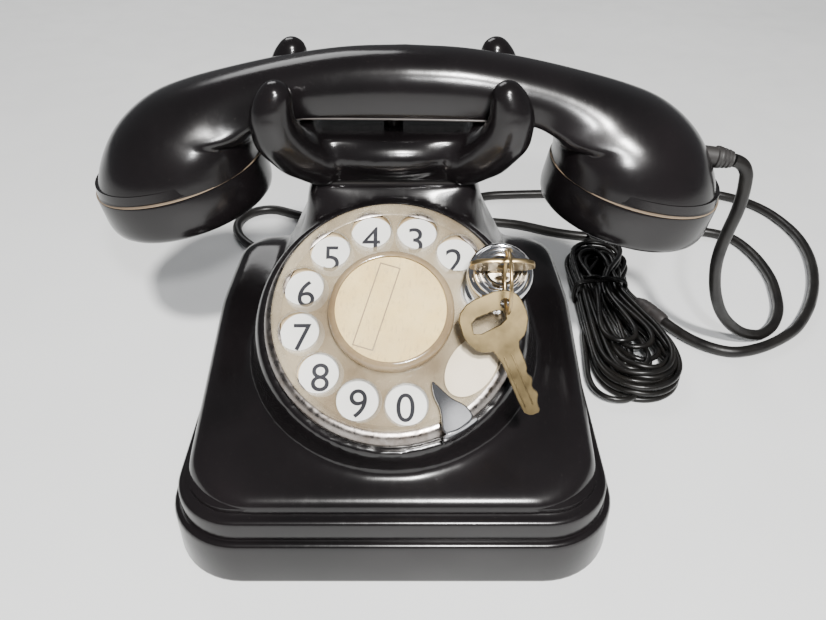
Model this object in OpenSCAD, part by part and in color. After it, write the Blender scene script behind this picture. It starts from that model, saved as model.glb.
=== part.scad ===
// Desk telephone with a rotary dial, four-horn cradle, dial lock and two keys.
// Millimetres. +X right, +Y back, +Z up; the front faces -Y.
// The origin is on the table, under the middle of the base.

/* [Base] */
// Width of the lowest band of the case
base_w = 151; // [149:0.5:153]
// Depth of the lowest band of the case
base_d = 160; // [158:0.5:162]
// Corner radius of the lowest band
base_corner = 25; // [22:0.5:27]
// Height of the top edge of the lowest band
band_low = 19.3; // [18.5:0.1:20]
// Height of the top edge of the second band
band_high = 27.5; // [26.8:0.1:28]
// Wall thickness of the moulded case
wall = 3.5; // [3:0.1:3.8]

/* [Dial] */
// Distance of the dial's centre in front of the origin
dial_front = 35.2; // [34.8:0.1:35.6]
// Height of the finger wheel's top face at its centre
dial_height = 80.5; // [80:0.1:81]
// Slope of the dial from level, in degrees
dial_tilt = 35; // [34.5:0.1:35.5]
// Outer radius of the clear finger wheel
wheel_r = 39; // [38.8:0.1:39.2]
// Thickness of the finger wheel
wheel_t = 3; // [2.6:0.1:3]
// Radius of a finger hole
hole_r = 6.75; // [6.4:0.05:6.8]
// Radius of the circle that the finger holes lie on
hole_circle = 30.5; // [30.3:0.1:30.7]
// Angle of the first finger hole from the top of the dial, clockwise
first_hole = 75; // [74.5:0.25:75.5]
// Angle between neighbouring finger holes, in degrees
hole_step = 29.4; // [29.2:0.1:29.6]

/* [Cradle and handset] */
// Height of the seam between neck and cradle
neck_top = 101.8; // [101.5:0.1:102]
// Distance of the cradle's centre behind the origin
cradle_y = 29.3; // [29:0.1:29.6]
// Sideways offset of the handset as it lies in the cradle
handset_x = 4; // [3:0.5:5]
// Radius of an ear or mouth cap
cap_r = 32.3; // [32:0.1:32.6]
// Tilt of the caps towards the middle, in degrees
cap_tilt = 12; // [11.5:0.5:12.5]
// Distance from the handset's middle to the centre of a cap's face
cap_span = 81.5; // [81:0.5:82]
// Height of the centre of a cap's face
cap_z = 83.5; // [83:0.1:84]

/* [Cords] */
// Diameter of the handset cord and of the line cord
cord_d = 5; // [4.8:0.1:5.2]

/* [Hidden] */
$fn = 64;

eps = 0.01;
// Case: the upper body stands back from the bands
band_step = 2.5;
body_step = 6;
ledge_top = 34;
body_half_w = base_w / 2 - body_step;
body_half_d = base_d / 2 - body_step;
body_corner = base_corner - 1;
plate_t = 1.5;
plate_z = 2.5;
inner_half_w = body_half_w - wall;
boss_x = 58.5;
boss_y = 60.5;
foot_x = 44;
foot_y = 62;
// Neck between the sloping deck and the cradle
neck_half_w = 31;
neck_front = 10;
neck_back = 49.5;
// Cradle: slot between the horns and seats for the handle
slot_low = 122.35;
slot_w = 29.4;
seat_top = 122.3;
// Dial stack, measured along the dial's axis from the wheel's top face
seat_h = -9;
plate_h = -5.6;
plate_thick = 1;
ring_r = 42.3;
ring_in = 36.5;
well_r = 36;
well_depth = 48;
frame_h = -12;
rear_h = -42;
pillar_gap = 25;
hub_r = 18;
hub_top = 2.5;
// Gear train of the dial
tooth_m = 0.6;
gear_n = 48;
pinion_n = 12;
gear_h = -28;
gear_gap = tooth_m * (gear_n + pinion_n) / 2;
pinion_turn = 135;
governor_gap = 20;
governor_turn = 250;
// Dial lock and keys, in the dial's plane
lock_a = 34.5;
lock_b = 9.5;
lock_r = 10.5;
lock_top = 12.5;
lock_low = 0.4;
plug_r = 4.5;
key_t = 1.4;
bow_w = 20.5;
bow_low = 13.1;
bow_top = 20.6;
ring_wire = 0.6;
// Where the spare key hangs from its ring, and how it leans
hang_a = 35.2;
hang_b = -2.2;
hang_h = 14.3;
hang_turn = 23;
hang_lean = 23.5;
ring_b = 1.8;
ring_h = 22.9;
ring_r_key = 9.5;
key_hole_h = 17.35;
key_hole_r = 2.15;
// Ringer
gong_r = 22;
gong_x = 27;
gong_y = 26;
gong_z = 34;
armature_y = 59.7;
// Sleeves where the two cords leave the case
cord_x_left = 42;
cord_x_right = 22;
cord_z = 12;
sleeve_r = 4.3;
sleeve_in = 65;
sleeve_out = 4;
fit = 0.05;
// Handset
handset_yaw = 2;
cap_h = 16;
cap_tall = cap_h + 0.4;
exit_x = 112.4;
exit_z = 106.9;
exit_turn = 100;
capsule_r = 25.5;
cavity_top = 16.8;
// Cord routes: points that each cord's centre line passes through
handset_route = [[-42, 84.2, 12], [-42, 87, 12], [-42.4, 94, 10], [-46, 104, 5], [-56, 116, 2.6],
    [-70, 125, 2.6],
    [-82, 134, 2.6], [-91, 146, 2.6], [-94, 160, 2.6], [-88, 172, 2.6], [-76, 176, 2.6], [-62, 170, 2.6],
    [-46, 162, 2.6], [-22, 157, 2.6], [0, 158, 2.6], [13, 159, 5], [23, 160, 7.8],
    [33, 161, 5], [46, 162, 2.6], [67, 158, 2.6], [88, 149, 2.6], [110, 144, 2.6],
    [134, 146, 2.6], [150, 149, 2.6], [164, 150.5, 2.6], [176, 148.5, 2.6], [186.5, 141, 2.6],
    [192, 124, 2.6], [193, 104, 2.6], [190.5, 88, 2.6], [186, 73, 2.6], [178.5, 60.5, 2.7],
    [169.5, 52.8, 3.6], [159.5, 49, 7.5], [150.5, 46, 15], [143, 42.5, 25], [137.3, 39.5, 37],
    [133.8, 37, 49], [132, 34, 60], [131.6, 30.5, 72], [131.7, 27.4, 82.5], [131.4, 25.8, 91],
    [130.7, 25.2, 98], [130, 25.1, 100.7], [128.6, 25.1, 103], [126.6, 25.1, 104.6], [124.4, 25.1, 105.4]];
line_route = [[22, 84.2, 12], [22, 87, 12], [22, 94, 10], [22, 104, 5], [22, 118, 2.6], [22, 146, 2.6],
    [23, 160, 2.6], [28, 174, 2.6], [38, 186, 2.6], [52, 193, 2.6], [68, 195, 2.6], [90, 196, 2.6],
    [114, 197, 2.6], [138, 198, 2.6], [162, 199, 2.6], [180, 198, 2.6],
    [194, 194.5, 2.6], [206, 187, 2.6], [215.5, 175, 2.6], [221, 160, 2.6], [223.4, 144, 2.6],
    [222.4, 128, 2.6], [218.8, 112, 2.6], [213, 96, 2.6], [205.5, 81, 2.6], [197, 68, 2.6],
    [188, 57.5, 2.6], [176.5, 49, 2.6], [165, 43.3, 2.6], [154, 41, 2.6], [145, 43.8, 2.6],
    [137, 50, 2.7], [131, 57.2, 3.1], [126.5, 64.2, 3.5]];
// Lead of the thin cord from the hank to its plug, over the handset cord
lead_d = 2.5;
lead_route = [[104.1, 131.8, 7], [105, 137, 7.4], [106.5, 143.5, 7.2], [108.5, 150, 6.4], [111.2, 154.8, 5.3],
    [112.8, 159.4, 4.7]];
cord_sides = 10;
lead_sides = 8;
// Joint between the thick cord and the thin one
joint_at = [126.4, 64.4, 3.6];
joint_turn = 116.5;
joint_r = 3.5;
joint_long = 18;
// Hank of the thin cord: upper lobes, waist under the tie, and fan
hank_h = 14;
hank_spots = [[103, 115, 16.5], [99, 84, 11], [106, 27, 20]];
tie_w = 30;
tie_h = 16;

// ---------- helpers ----------

// A flat rectangle with round corners, made of squares and circles
module rounded_rect(half_w, front, back, r) {
    translate([-half_w + r, front]) square([2 * (half_w - r), back - front]);
    translate([-half_w, front + r]) square([2 * half_w, back - front - 2 * r]);
    for (x = [-half_w + r, half_w - r])
        for (y = [front + r, back - r])
            translate([x, y]) circle(r);
}

// A slab with round corners between two heights
module slab(half_w, front, back, r, low, high) {
    translate([0, 0, low]) linear_extrude(high - low) rounded_rect(half_w, front, back, r);
}

// Puts a shape drawn on the dial into place: its Z is the dial's axis
module on_dial() {
    translate([0, -dial_front, dial_height]) rotate([dial_tilt, 0, 0]) children();
}

// Turns clockwise from the top of the dial and moves outwards
module at_clock(angle, r) {
    rotate([0, 0, -angle]) translate([0, r, 0]) children();
}

module tube(outer, inner, low, high) {
    translate([0, 0, low]) difference() {
        cylinder(r = outer, h = high - low);
        translate([0, 0, -1]) cylinder(r = inner, h = high - low + 2);
    }
}

function unit(v) = v / norm(v);

// Direction of a route at one of its points
function route_dir(p, i) = unit(p[min(i + 1, len(p) - 1)] - p[max(i - 1, 0)]);

// Side vectors carried along a route without twist
function carry(p, i, side, found = []) =
    let (t = route_dir(p, i), s = unit(side - (side * t) * t), all = concat(found, [s]))
    i == len(p) - 1 ? all : carry(p, i + 1, s, all);

// A round cord swept along a route
module swept_cord(p, d, sides) {
    n = len(p);
    side = carry(p, 0, [1, 0, 0.1]);
    points = [for (i = [0:n - 1]) let (t = route_dir(p, i), s = side[i], u = cross(t, s))
        for (k = [0:sides - 1]) let (a = 360 * k / sides)
            p[i] + d / 2 * (cos(a) * s + sin(a) * u)];
    walls = [for (i = [0:n - 2]) for (k = [0:sides - 1]) let (m = (k + 1) % sides)
        each [[i * sides + k, (i + 1) * sides + k, (i + 1) * sides + m],
              [i * sides + k, (i + 1) * sides + m, i * sides + m]]];
    first = [for (k = [0:sides - 1]) k];
    last = [for (k = [sides - 1:-1:0]) (n - 1) * sides + k];
    polyhedron(points, concat(walls, [first, last]));
}

// A toothed wheel centred on Z, resting on z = 0
module gear(n, t, bore) {
    root = tooth_m * (n / 2 - 1.1);
    tip = tooth_m * (n / 2 + 0.8);
    half = 360 / n / 4 * 0.82;
    difference() {
        linear_extrude(t) union() {
            circle(root);
            for (i = [0:n - 1])
                rotate(360 * i / n)
                    polygon([[root - 0.3, -root * sin(half * 1.35)], [tip, -tip * sin(half * 0.5)],
                             [tip, tip * sin(half * 0.5)], [root - 0.3, root * sin(half * 1.35)]]);
        }
        translate([0, 0, -1]) cylinder(r = bore, h = t + 2);
    }
}

// ---------- case ----------

// Sloping deck of the case, shrunk inwards by an offset
module deck(off) {
    hull() {
        slab(body_half_w - off, -body_half_d + off, body_half_d - 1 - off, body_corner - off,
            band_high - 1 - off, ledge_top - off);
        slab(66 - off, 42, 68 - off, 16 - off, 50 - off, 57 - off);
    }
}

// Neck that carries the cradle, flaring into the deck
module neck(off, top) {
    hull() {
        slab(46 - off, -2 + off, 64 - off, 14 - off, 50, 56 - off);
        slab(35 - off, 8 + off, 53 - off, 9 - off, 74, 76);
    }
    hull() {
        slab(35 - off, 8 + off, 53 - off, 9 - off, 74, 76);
        slab(neck_half_w - off, neck_front + off, neck_back - off, 6 - off / 2, top - 2, top);
    }
}

// Round pod that the dial sits on
module pod(off) {
    on_dial() translate([0, 0, -38]) cylinder(r1 = 50.5 - off, r2 = 44.5 - off, h = 38 + seat_h - off);
}

module case_shell() color("#141112") {
    difference() {
        union() {
            slab(base_w / 2, -base_d / 2, base_d / 2, base_corner, 0, band_low);
            slab(base_w / 2 - band_step, -base_d / 2 + band_step, base_d / 2 - band_step,
                base_corner - 1, band_low - eps, band_high);
            deck(0);
            neck(0, neck_top);
            pod(0);
        }
        slab(inner_half_w, -body_half_d + wall, body_half_d - 1 - wall, body_corner - wall, 0, band_high);
        deck(wall);
        neck(wall, neck_top - wall);
        pod(wall);
        on_dial() translate([0, 0, -well_depth]) cylinder(r = well_r, h = well_depth);
        translate([0, cradle_y, 90]) cylinder(r = 4.4, h = 20);
        for (x = [-20, 20]) translate([x, cradle_y, 90]) cylinder(r = 2.1, h = 20);
        for (x = [-cord_x_left, cord_x_right])
            translate([x, 60, cord_z]) rotate([-90, 0, 0]) cylinder(r = sleeve_r, h = 30);
    }
    for (x = [-boss_x, boss_x]) for (y = [-boss_y, boss_y])
        translate([x, y, plate_z + plate_t]) tube(5, 1.66, 0, 22);
}

module base_plate() color("#6f6a62") {
    difference() {
        slab(inner_half_w - 0.3, -body_half_d + wall + 0.3, body_half_d - wall - 1.3, 20,
            plate_z, plate_z + plate_t);
        for (x = [-boss_x, boss_x]) for (y = [-boss_y, boss_y])
            translate([x, y, 0]) cylinder(r = 2.2, h = 10);
    }
}

module rubber_feet() color("#2b2a28") {
    for (x = [-foot_x, foot_x]) for (y = [-foot_y, foot_y])
        translate([x, y, 0]) cylinder(r = 7, h = plate_z);
}

module base_screws() color("#8d8a84") {
    for (x = [-boss_x, boss_x]) for (y = [-boss_y, boss_y])
        translate([x, y, 0]) {
            translate([0, 0, 1]) cylinder(r = 3, h = plate_z - 1);
            translate([0, 0, plate_z]) cylinder(r = 1.6, h = 12);
        }
}

// ---------- cradle and hook switch ----------

// One horn of the cradle: front or back, left or right
module horn(sx, sy) {
    hull() {
        translate([sx * 27, sy * 14, 109]) sphere(7, $fn = 24);
        translate([sx * 38.5, sy * 22, 123]) sphere(7, $fn = 24);
        translate([sx * 37, sy * 22.5, 137.6]) sphere(4.6, $fn = 24);
    }
}

// Low ridge between two horns, on which the handle rests
module seat(sx) {
    hull() {
        translate([sx * 30, 0, 112]) cube([13, 30, 1], center = true);
        translate([sx * 30, 0, seat_top - 0.5]) cube([5, 26, 1], center = true);
    }
}

module cradle() color("#171314") {
    translate([0, cradle_y, 0]) difference() {
        union() {
            hull() {
                slab(neck_half_w - 0.5, -19, 19.5, 6, neck_top, neck_top + 1);
                slab(36, -17, 17, 8, 112, 118.5);
            }
            for (sx = [-1, 1]) {
                for (sy = [-1, 1]) horn(sx, sy);
                seat(sx);
            }
        }
        cylinder(r = 3.55, h = 150);
        translate([0, 0, slot_low]) rotate(-handset_yaw) linear_extrude(40)
            square([200, slot_w], center = true);
        for (x = [-20, 20]) translate([x, 0, 90]) cylinder(r = 1.7, h = 24);
    }
}

module cradle_screws() color("#8d8a84") {
    for (x = [-20, 20]) translate([x, cradle_y, 0]) {
        translate([0, 0, neck_top - wall - 1.6]) cylinder(r = 3.6, h = 1.6);
        translate([0, 0, neck_top - wall]) cylinder(r = 1.7, h = 12);
    }
}

module hook_plunger() color("#2a2626") {
    translate([0, cradle_y, 0]) {
        translate([0, 0, 106]) cylinder(r = 3.5, h = 16.4);
        translate([0, 0, 55.3]) cylinder(r = 1.8, h = 51);
    }
}

module switch_springs() color("#b9b3a0") {
    for (i = [0:3])
        translate([-4, cradle_y - 4, 54.4 - 2.2 * i]) cube([8, 28, 0.5]);
    translate([-5, cradle_y + 16, 46.3]) cube([10, 8, 9.3]);
}

module switch_bracket() color("#8d8a84") {
    for (x = [-5.5, 3.5]) translate([x, 53.5, plate_z + plate_t + 1.6]) cube([2, 1.5, 40]);
    translate([-8, 44, 45]) cube([16, 11, 1.3]);
}

// ---------- dial ----------

module dial_ring() color("#b8b4ac") {
    on_dial() rotate_extrude()
        polygon([[ring_in, seat_h], [ring_r, seat_h], [ring_r, -6.4], [ring_r - 2, -4.2],
                 [ring_in, -4.2]]);
}

module number_plate() color("#efece2") {
    on_dial() tube(ring_in, 3, plate_h, plate_h + plate_thick);
}

module finger_stop() color("#c9ccce") {
    on_dial() {
        translate([0, 0, 1.3]) linear_extrude(1.4)
            polygon([[12.4, -22.4], [13.4, -28.6], [15.4, -32.4], [16, -40.4], [21, -39],
                     [26, -35], [23.4, -31], [18.6, -28.8]]);
        translate([0, 0, seat_h]) linear_extrude(1.4 - seat_h)
            polygon([[16, -40.4], [16.6, -41.9], [22.6, -39], [27.4, -35.6], [26.4, -34.2],
                     [21.8, -37.4]]);
    }
}

module dial_frame() color("#9a968c") {
    on_dial() difference() {
        union() {
            translate([0, 0, frame_h]) cylinder(r = 35.5, h = 3);
            translate([0, 0, rear_h]) cylinder(r = 28, h = 2);
            for (a = [20, 195, 300]) rotate(a) translate([pillar_gap, 0, rear_h]) cylinder(r = 2, h = 31);
            translate([0, 0, frame_h - 3]) cylinder(r = 5, h = 6);
        }
        translate([0, 0, rear_h - 5]) cylinder(r = 2.56, h = 60);
        rotate(pinion_turn) translate([gear_gap, 0, rear_h - 1]) cylinder(r = 1.56, h = 5);
        rotate(governor_turn) translate([governor_gap, 0, rear_h - 1]) cylinder(r = 1.06, h = 5);
    }
}

module dial_shaft() color("#8f8b84") {
    on_dial() {
        translate([0, 0, rear_h - 1]) cylinder(r = 2.5, h = hub_top - rear_h);
    }
}

module main_gear() color("#c6a356") {
    on_dial() translate([0, 0, gear_h]) gear(gear_n, 2, 2.5);
}

// Point i of a flat spiral that starts at radius r and grows by 10 mm
function spiral(i, r, turns, steps) =
    let (a = 360 * turns * i / steps) (r + 10 * i / steps) * [cos(a), sin(a)];

module return_spring() color("#5b6470") {
    turns = 3.5;
    steps = 84;
    inner = [for (i = [0:steps]) spiral(i, 3.2, turns, steps)];
    outer = [for (i = [steps:-1:0]) spiral(i, 3.8, turns, steps)];
    on_dial() translate([0, 0, -22]) linear_extrude(5) polygon(concat(inner, outer));
}

module pulse_pinion() color("#c6a356") {
    on_dial() rotate(pinion_turn) translate([gear_gap, 0, 0]) {
        translate([0, 0, gear_h - 1]) rotate(180 + 180 / pinion_n) gear(pinion_n, 4, 1.5);
        translate([0, 0, rear_h - 0.6]) cylinder(r = 1.5, h = 20);
        translate([0, 0, rear_h + 4]) difference() {
            cylinder(r = 5, h = 2.4);
            translate([2.6, -6, -1]) cube([6, 12, 5]);
        }
    }
}

module pulse_contacts() color("#b9b3a0") {
    on_dial() rotate(pinion_turn) translate([gear_gap, 0, rear_h + 2]) {
        translate([-9, 6.6, 0.2]) cube([18, 0.5, 5]);
        translate([-9, 8.2, 0.2]) cube([18, 0.5, 5]);
        translate([-9, 6, 0]) cube([5, 3.4, 6]);
    }
}

module governor() color("#c6a356") {
    on_dial() rotate(governor_turn) translate([governor_gap, 0, 0]) {
        translate([0, 0, rear_h - 0.6]) cylinder(r = 1, h = 14);
        translate([0, 0, rear_h + 5]) linear_extrude(4) {
            square([9, 1.6], center = true);
            for (s = [-1, 1]) translate([s * 4, 0]) circle(1.6);
        }
    }
}

module governor_cup() color("#9a968c") {
    on_dial() rotate(governor_turn) translate([governor_gap, 0, 0]) difference() {
        translate([0, 0, rear_h + 2]) cylinder(r = 7.4, h = 8);
        translate([0, 0, rear_h + 3]) cylinder(r = 6.4, h = 9);
        translate([0, 0, rear_h]) cylinder(r = 1.5, h = 9);
    }
}

module finger_wheel() color("#b9a98c", 0.6) {
    on_dial() translate([0, 0, -wheel_t]) difference() {
        cylinder(r = wheel_r, h = wheel_t);
        translate([0, 0, -1]) cylinder(r = 2.5, h = wheel_t + 2);
        for (i = [0:9])
            at_clock(first_hole - hole_step * i, hole_circle) translate([0, 0, -1])
                cylinder(r = hole_r, h = wheel_t + 2);
    }
}

module wheel_hub() color("#cfc4a4") {
    on_dial() tube(hub_r, 2.5, 0, hub_top);
}

module center_card() color("#e8d9a8") {
    on_dial() translate([0, 0, hub_top]) cylinder(r = hub_r, h = 0.5);
}

module card_cover() color("#e9dfc0", 0.4) {
    on_dial() translate([0, 0, hub_top + 0.5]) cylinder(r = hub_r, h = 0.8);
}

module card_ring() color("#a89a7c") {
    on_dial() rotate_extrude()
        polygon([[hub_r, 0], [20.4, 0], [20.4, 2.4], [19, 4.2], [17.2, 4.2], [17.2, 3.8], [hub_r, 3.8]]);
}

// ---------- lock and keys ----------

module on_lock() {
    on_dial() translate([lock_a, lock_b, 0]) children();
}

module lock_body() color("#b9bcc0") {
    on_lock() difference() {
        union() {
            translate([0, 0, lock_low]) cylinder(r = lock_r, h = lock_top - lock_low - 2);
            translate([0, 0, lock_top - 2]) cylinder(r1 = lock_r, r2 = lock_r - 2, h = 2);
        }
        translate([0, 0, 2]) cylinder(r = plug_r + 0.05, h = 20);
    }
    on_dial() at_clock(first_hole, hole_circle) translate([0, 0, -4.2]) cylinder(r = 5.6, h = 5.2);
}

module lock_plug() color("#c9ccce") {
    on_lock() difference() {
        translate([0, 0, 2]) cylinder(r = plug_r, h = lock_top - 2.2);
        translate([-3.6, -key_t / 2, 3.5]) cube([7.2, key_t, 20]);
    }
}

// A flat key lying in the XY plane: bow at the origin, blade towards -Y
module flat_key(blade) {
    difference() {
        linear_extrude(key_t) polygon([[-9, 6.5], [-4, 9], [4, 9], [9, 6.5], [10.2, -3], [5, -8.5],
            [4.2, -10], [4.2, -10 - blade * 0.3], [3.6, -10 - blade * 0.4], [4.2, -10 - blade * 0.5],
            [3.2, -10 - blade * 0.64], [4, -10 - blade * 0.76], [2.8, -10 - blade * 0.86],
            [2.2, -10 - blade], [-0.4, -10 - blade], [-2.6, -8 - blade], [-2.6, -10], [-5, -8.5],
            [-10.2, -3]]);
        translate([-6.4, -1.6, -1]) cube([10, 4.6, key_t + 2]);
        translate([5.4, 4, -1]) cylinder(r = 1.5, h = key_t + 2);
    }
}

module lock_key() color("#b08d4a") {
    on_lock() difference() {
        union() {
            translate([0, key_t / 2, 0]) rotate([90, 0, 0]) linear_extrude(key_t)
                polygon([[-7, bow_low], [7, bow_low], [bow_w / 2, bow_low + 2],
                    [bow_w / 2 - 0.5, bow_top - 2], [6, bow_top], [-6, bow_top],
                    [0.5 - bow_w / 2, bow_top - 2], [-bow_w / 2, bow_low + 2]]);
            translate([-3.5, -key_t / 2, 4]) cube([7, key_t, lock_top]);
        }
        translate([hang_a - lock_a, 4, key_hole_h]) rotate([90, 0, 0]) cylinder(r = key_hole_r, h = 8);
    }
}

module key_ring() color("#a98a4c") {
    on_dial() translate([hang_a, ring_b, ring_h]) rotate([0, 90, 0])
        rotate_extrude() translate([ring_r_key, 0]) circle(ring_wire, $fn = 16);
}

module spare_key() color("#b8a067") {
    on_dial() translate([hang_a, hang_b, hang_h]) rotate([hang_lean, 0, 0]) rotate([0, 0, hang_turn])
        translate([-5.4, -4, -key_t / 2]) flat_key(21);
}

// ---------- ringer and other parts on the base ----------

module ringer_frame() color("#8d8a84") {
    z0 = plate_z + plate_t;
    translate([-40, gong_y - 8, z0]) cube([80, 46.1, 1.6]);
    translate([-22, armature_y + 2.4, z0]) cube([44, 2, 22]);
    for (x = [-gong_x, gong_x]) translate([x, gong_y, z0]) cylinder(r = 3, h = gong_z + 9.6 - z0);
}

module ringer_coils() color("#7a3b24") {
    for (x = [-11, 11]) translate([x, 30, 16]) rotate([-90, 0, 0]) {
        cylinder(r = 8.6, h = 22);
        cylinder(r = 3, h = 28.2);
    }
    translate([-20, 28, plate_z + plate_t + 1.6]) cube([40, 2, 20]);
}

module gong() {
    rotate_extrude()
        polygon([[0, 11], [8, 11], [16, 9.4], [20, 5.4], [gong_r, 0], [gong_r - 1.4, 0], [18.8, 4.6],
                 [15.4, 7.9], [8, 9.6], [0, 9.6]]);
}

module gong_left() color("#c0b9a4") {
    translate([-gong_x, gong_y, gong_z]) gong();
}

module gong_right() color("#c0b9a4") {
    translate([gong_x, gong_y, gong_z]) gong();
}

module gong_screws() color("#8d8a84") {
    for (x = [-gong_x, gong_x]) translate([x, gong_y, gong_z + 11]) cylinder(r = 3.2, h = 1.8);
}

module clapper() color("#8f8b84") {
    translate([-19, armature_y - 1, 10]) cube([38, 2, 12]);
    translate([0, armature_y, 21.5]) cylinder(r = 0.8, h = 16);
    translate([0, armature_y + 0.8, 37.5]) rotate([90, 0, 0]) cylinder(r = 0.8, h = 31);
    translate([0, gong_y + 1, 37.5]) sphere(3.5);
}

module induction_coil() color("#8a5a2c") {
    translate([16, -50, 15]) rotate([0, 90, 0]) cylinder(r = 8.5, h = 32);
    for (x = [14, 48]) translate([x, -60, plate_z + plate_t]) cube([2, 20, 20]);
}

module condenser() color("#a9a496") {
    translate([-52, -62, plate_z + plate_t]) cube([26, 34, 19]);
}

module terminal_strip() color("#5a3a22") {
    translate([-20, -20, plate_z + plate_t]) cube([40, 14, 6]);
    for (i = [0:4]) translate([-16 + 8 * i, -13, plate_z + plate_t + 6]) cylinder(r = 2.4, h = 2);
}

module cord_grommets() color("#1c1a1a") {
    for (x = [-cord_x_left, cord_x_right]) translate([x, 0, cord_z]) rotate([-90, 0, 0]) {
        translate([0, 0, sleeve_in]) cylinder(r = sleeve_r - fit, h = base_d / 2 - sleeve_in + eps);
        translate([0, 0, base_d / 2]) cylinder(r1 = 5.2, r2 = 3.6, h = sleeve_out);
    }
}

// ---------- handset ----------

// Half of the handset's side view: outer X and Z, inner X and Z, half width
handle_stations = [[0, 145.4, 0, 123, 13.5], [20, 144.5, 17, 123, 13.5], [40, 141.6, 32.5, 122.8, 13.8],
    [60, 137.2, 45, 121.6, 14.8], [80, 131.6, 51.4, 118.6, 18], [94, 125.6, 53.6, 115, 22.5],
    [105, 116.5, 54.2, 111.6, 27], [112, 105, 54.3, 108.6, 29.8], [115.6, 93.2, 53.9, 106.3, 31.3]];
handle_sides = 28;

function station(i) = let (n = len(handle_stations) - 1, s = handle_stations[abs(i)], m = i < 0 ? -1 : 1)
    [m * s[0], s[1], m * s[2], s[3], s[4]];

module handset_body() {
    n = len(handle_stations) - 1;
    k = handle_sides;
    points = [for (i = [-n:n]) let (s = station(i), cx = (s[0] + s[2]) / 2, cz = (s[1] + s[3]) / 2,
        hx = (s[0] - s[2]) / 2, hz = (s[1] - s[3]) / 2)
        for (j = [0:k - 1]) let (a = 360 * j / k) [cx + hx * cos(a), s[4] * sin(a), cz + hz * cos(a)]];
    walls = [for (i = [0:2 * n - 1]) for (j = [0:k - 1]) let (m = (j + 1) % k)
        each [[i * k + j, (i + 1) * k + m, (i + 1) * k + j], [i * k + j, i * k + m, (i + 1) * k + m]]];
    first = [for (j = [k - 1:-1:0]) j];
    last = [for (j = [0:k - 1]) 2 * n * k + j];
    polyhedron(points, concat(walls, [first, last]));
}

// Turns the handset a little, as it lies in the cradle
module on_handset() {
    translate([handset_x, cradle_y, 0]) rotate([0, 0, -handset_yaw]) children();
}

// Puts a shape on a cap's axis: z = 0 is the cap's face, +Z runs into the head
module at_cap(side) {
    on_handset() translate([side * cap_span, 0, cap_z]) rotate([0, side * cap_tilt, 0]) children();
}

// Puts a shape on the axis where the cord leaves the handset
module at_exit() {
    on_handset() translate([exit_x, 0, exit_z]) rotate([0, exit_turn, 0]) children();
}

module handset_handle() color("#171314") {
    difference() {
        union() {
            on_handset() handset_body();
            for (side = [-1, 1]) at_cap(side) translate([0, 0, 11]) cylinder(r = 28, h = 6.5);
        }
        for (side = [-1, 1]) at_cap(side) translate([0, 0, 2])
            cylinder(r = capsule_r + 0.3, h = cavity_top - 2);
        at_exit() translate([0, 0, -14]) cylinder(r = 3.3, h = 20);
    }
}

module cap_shape() {
    difference() {
        rotate_extrude() polygon([[0, 0], [26.4, 0], [30.4, 1.2], [cap_r, 4], [cap_r, cap_tall],
            [28.4, cap_tall], [28.4, 4.5], [0, 2.6]]);
        for (ring = [0, 1]) for (i = [0:5 + 6 * ring])
            rotate(360 * i / (6 + 6 * ring)) translate([6 + 7 * ring, 0, -1]) cylinder(r = 1.1, h = 6);
    }
}

module ear_cap() color("#171314") {
    at_cap(-1) cap_shape();
}

module mouth_cap() color("#171314") {
    at_cap(1) cap_shape();
}

module capsule(rim) {
    translate([0, 0, 5]) cylinder(r = rim, h = 3);
    translate([0, 0, 8]) cylinder(r = rim - 4, h = cavity_top - 8.3);
}

module receiver_capsule() color("#8d8a84") {
    at_cap(-1) capsule(capsule_r);
}

module transmitter_capsule() color("#8d8a84") {
    at_cap(1) capsule(capsule_r - 0.5);
}

module handset_grommet() color("#1c1a1a") {
    at_exit() {
        translate([0, 0, -6]) cylinder(r = 3.25, h = 7);
        translate([0, 0, 0.8]) cylinder(r1 = 4, r2 = 3.3, h = 6.7);
    }
}

// ---------- cords ----------

module handset_cord() color("#1a1818") {
    swept_cord(handset_route, cord_d, cord_sides);
}

module line_cord() color("#1a1818") {
    swept_cord(line_route, cord_d, cord_sides);
}

module cord_joint() color("#1c1a1a") {
    translate(joint_at) rotate([0, 0, joint_turn]) rotate([0, 90, 0]) cylinder(r = joint_r, h = joint_long);
}

module hank() color("#1a1818") {
    linear_extrude(hank_h) for (i = [0, 1]) hull() {
        translate([hank_spots[i][0], hank_spots[i][1]]) circle(hank_spots[i][2]);
        translate([hank_spots[i + 1][0], hank_spots[i + 1][1]]) circle(hank_spots[i + 1][2]);
    }
}

module hank_tie() color("#1c1a1a") {
    translate([hank_spots[1][0], hank_spots[1][1], 0]) rotate([0, 0, 6]) difference() {
        translate([-tie_w / 2, -3, 0]) cube([tie_w, 6, tie_h]);
        translate([1.2 - tie_w / 2, -4, -1]) cube([tie_w - 2.4, 8, tie_h - 0.2]);
    }
}

module plug_lead() color("#1a1818") {
    swept_cord(lead_route, lead_d, lead_sides);
}

module wall_plug() color("#26231f") {
    translate([107, 160, 0]) {
        translate([0, 0, 0.2]) cube([12, 22, 9]);
        for (x = [3, 8]) translate([x, 21, 3.4]) cube([1.2, 8, 2.4]);
    }
}

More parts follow.
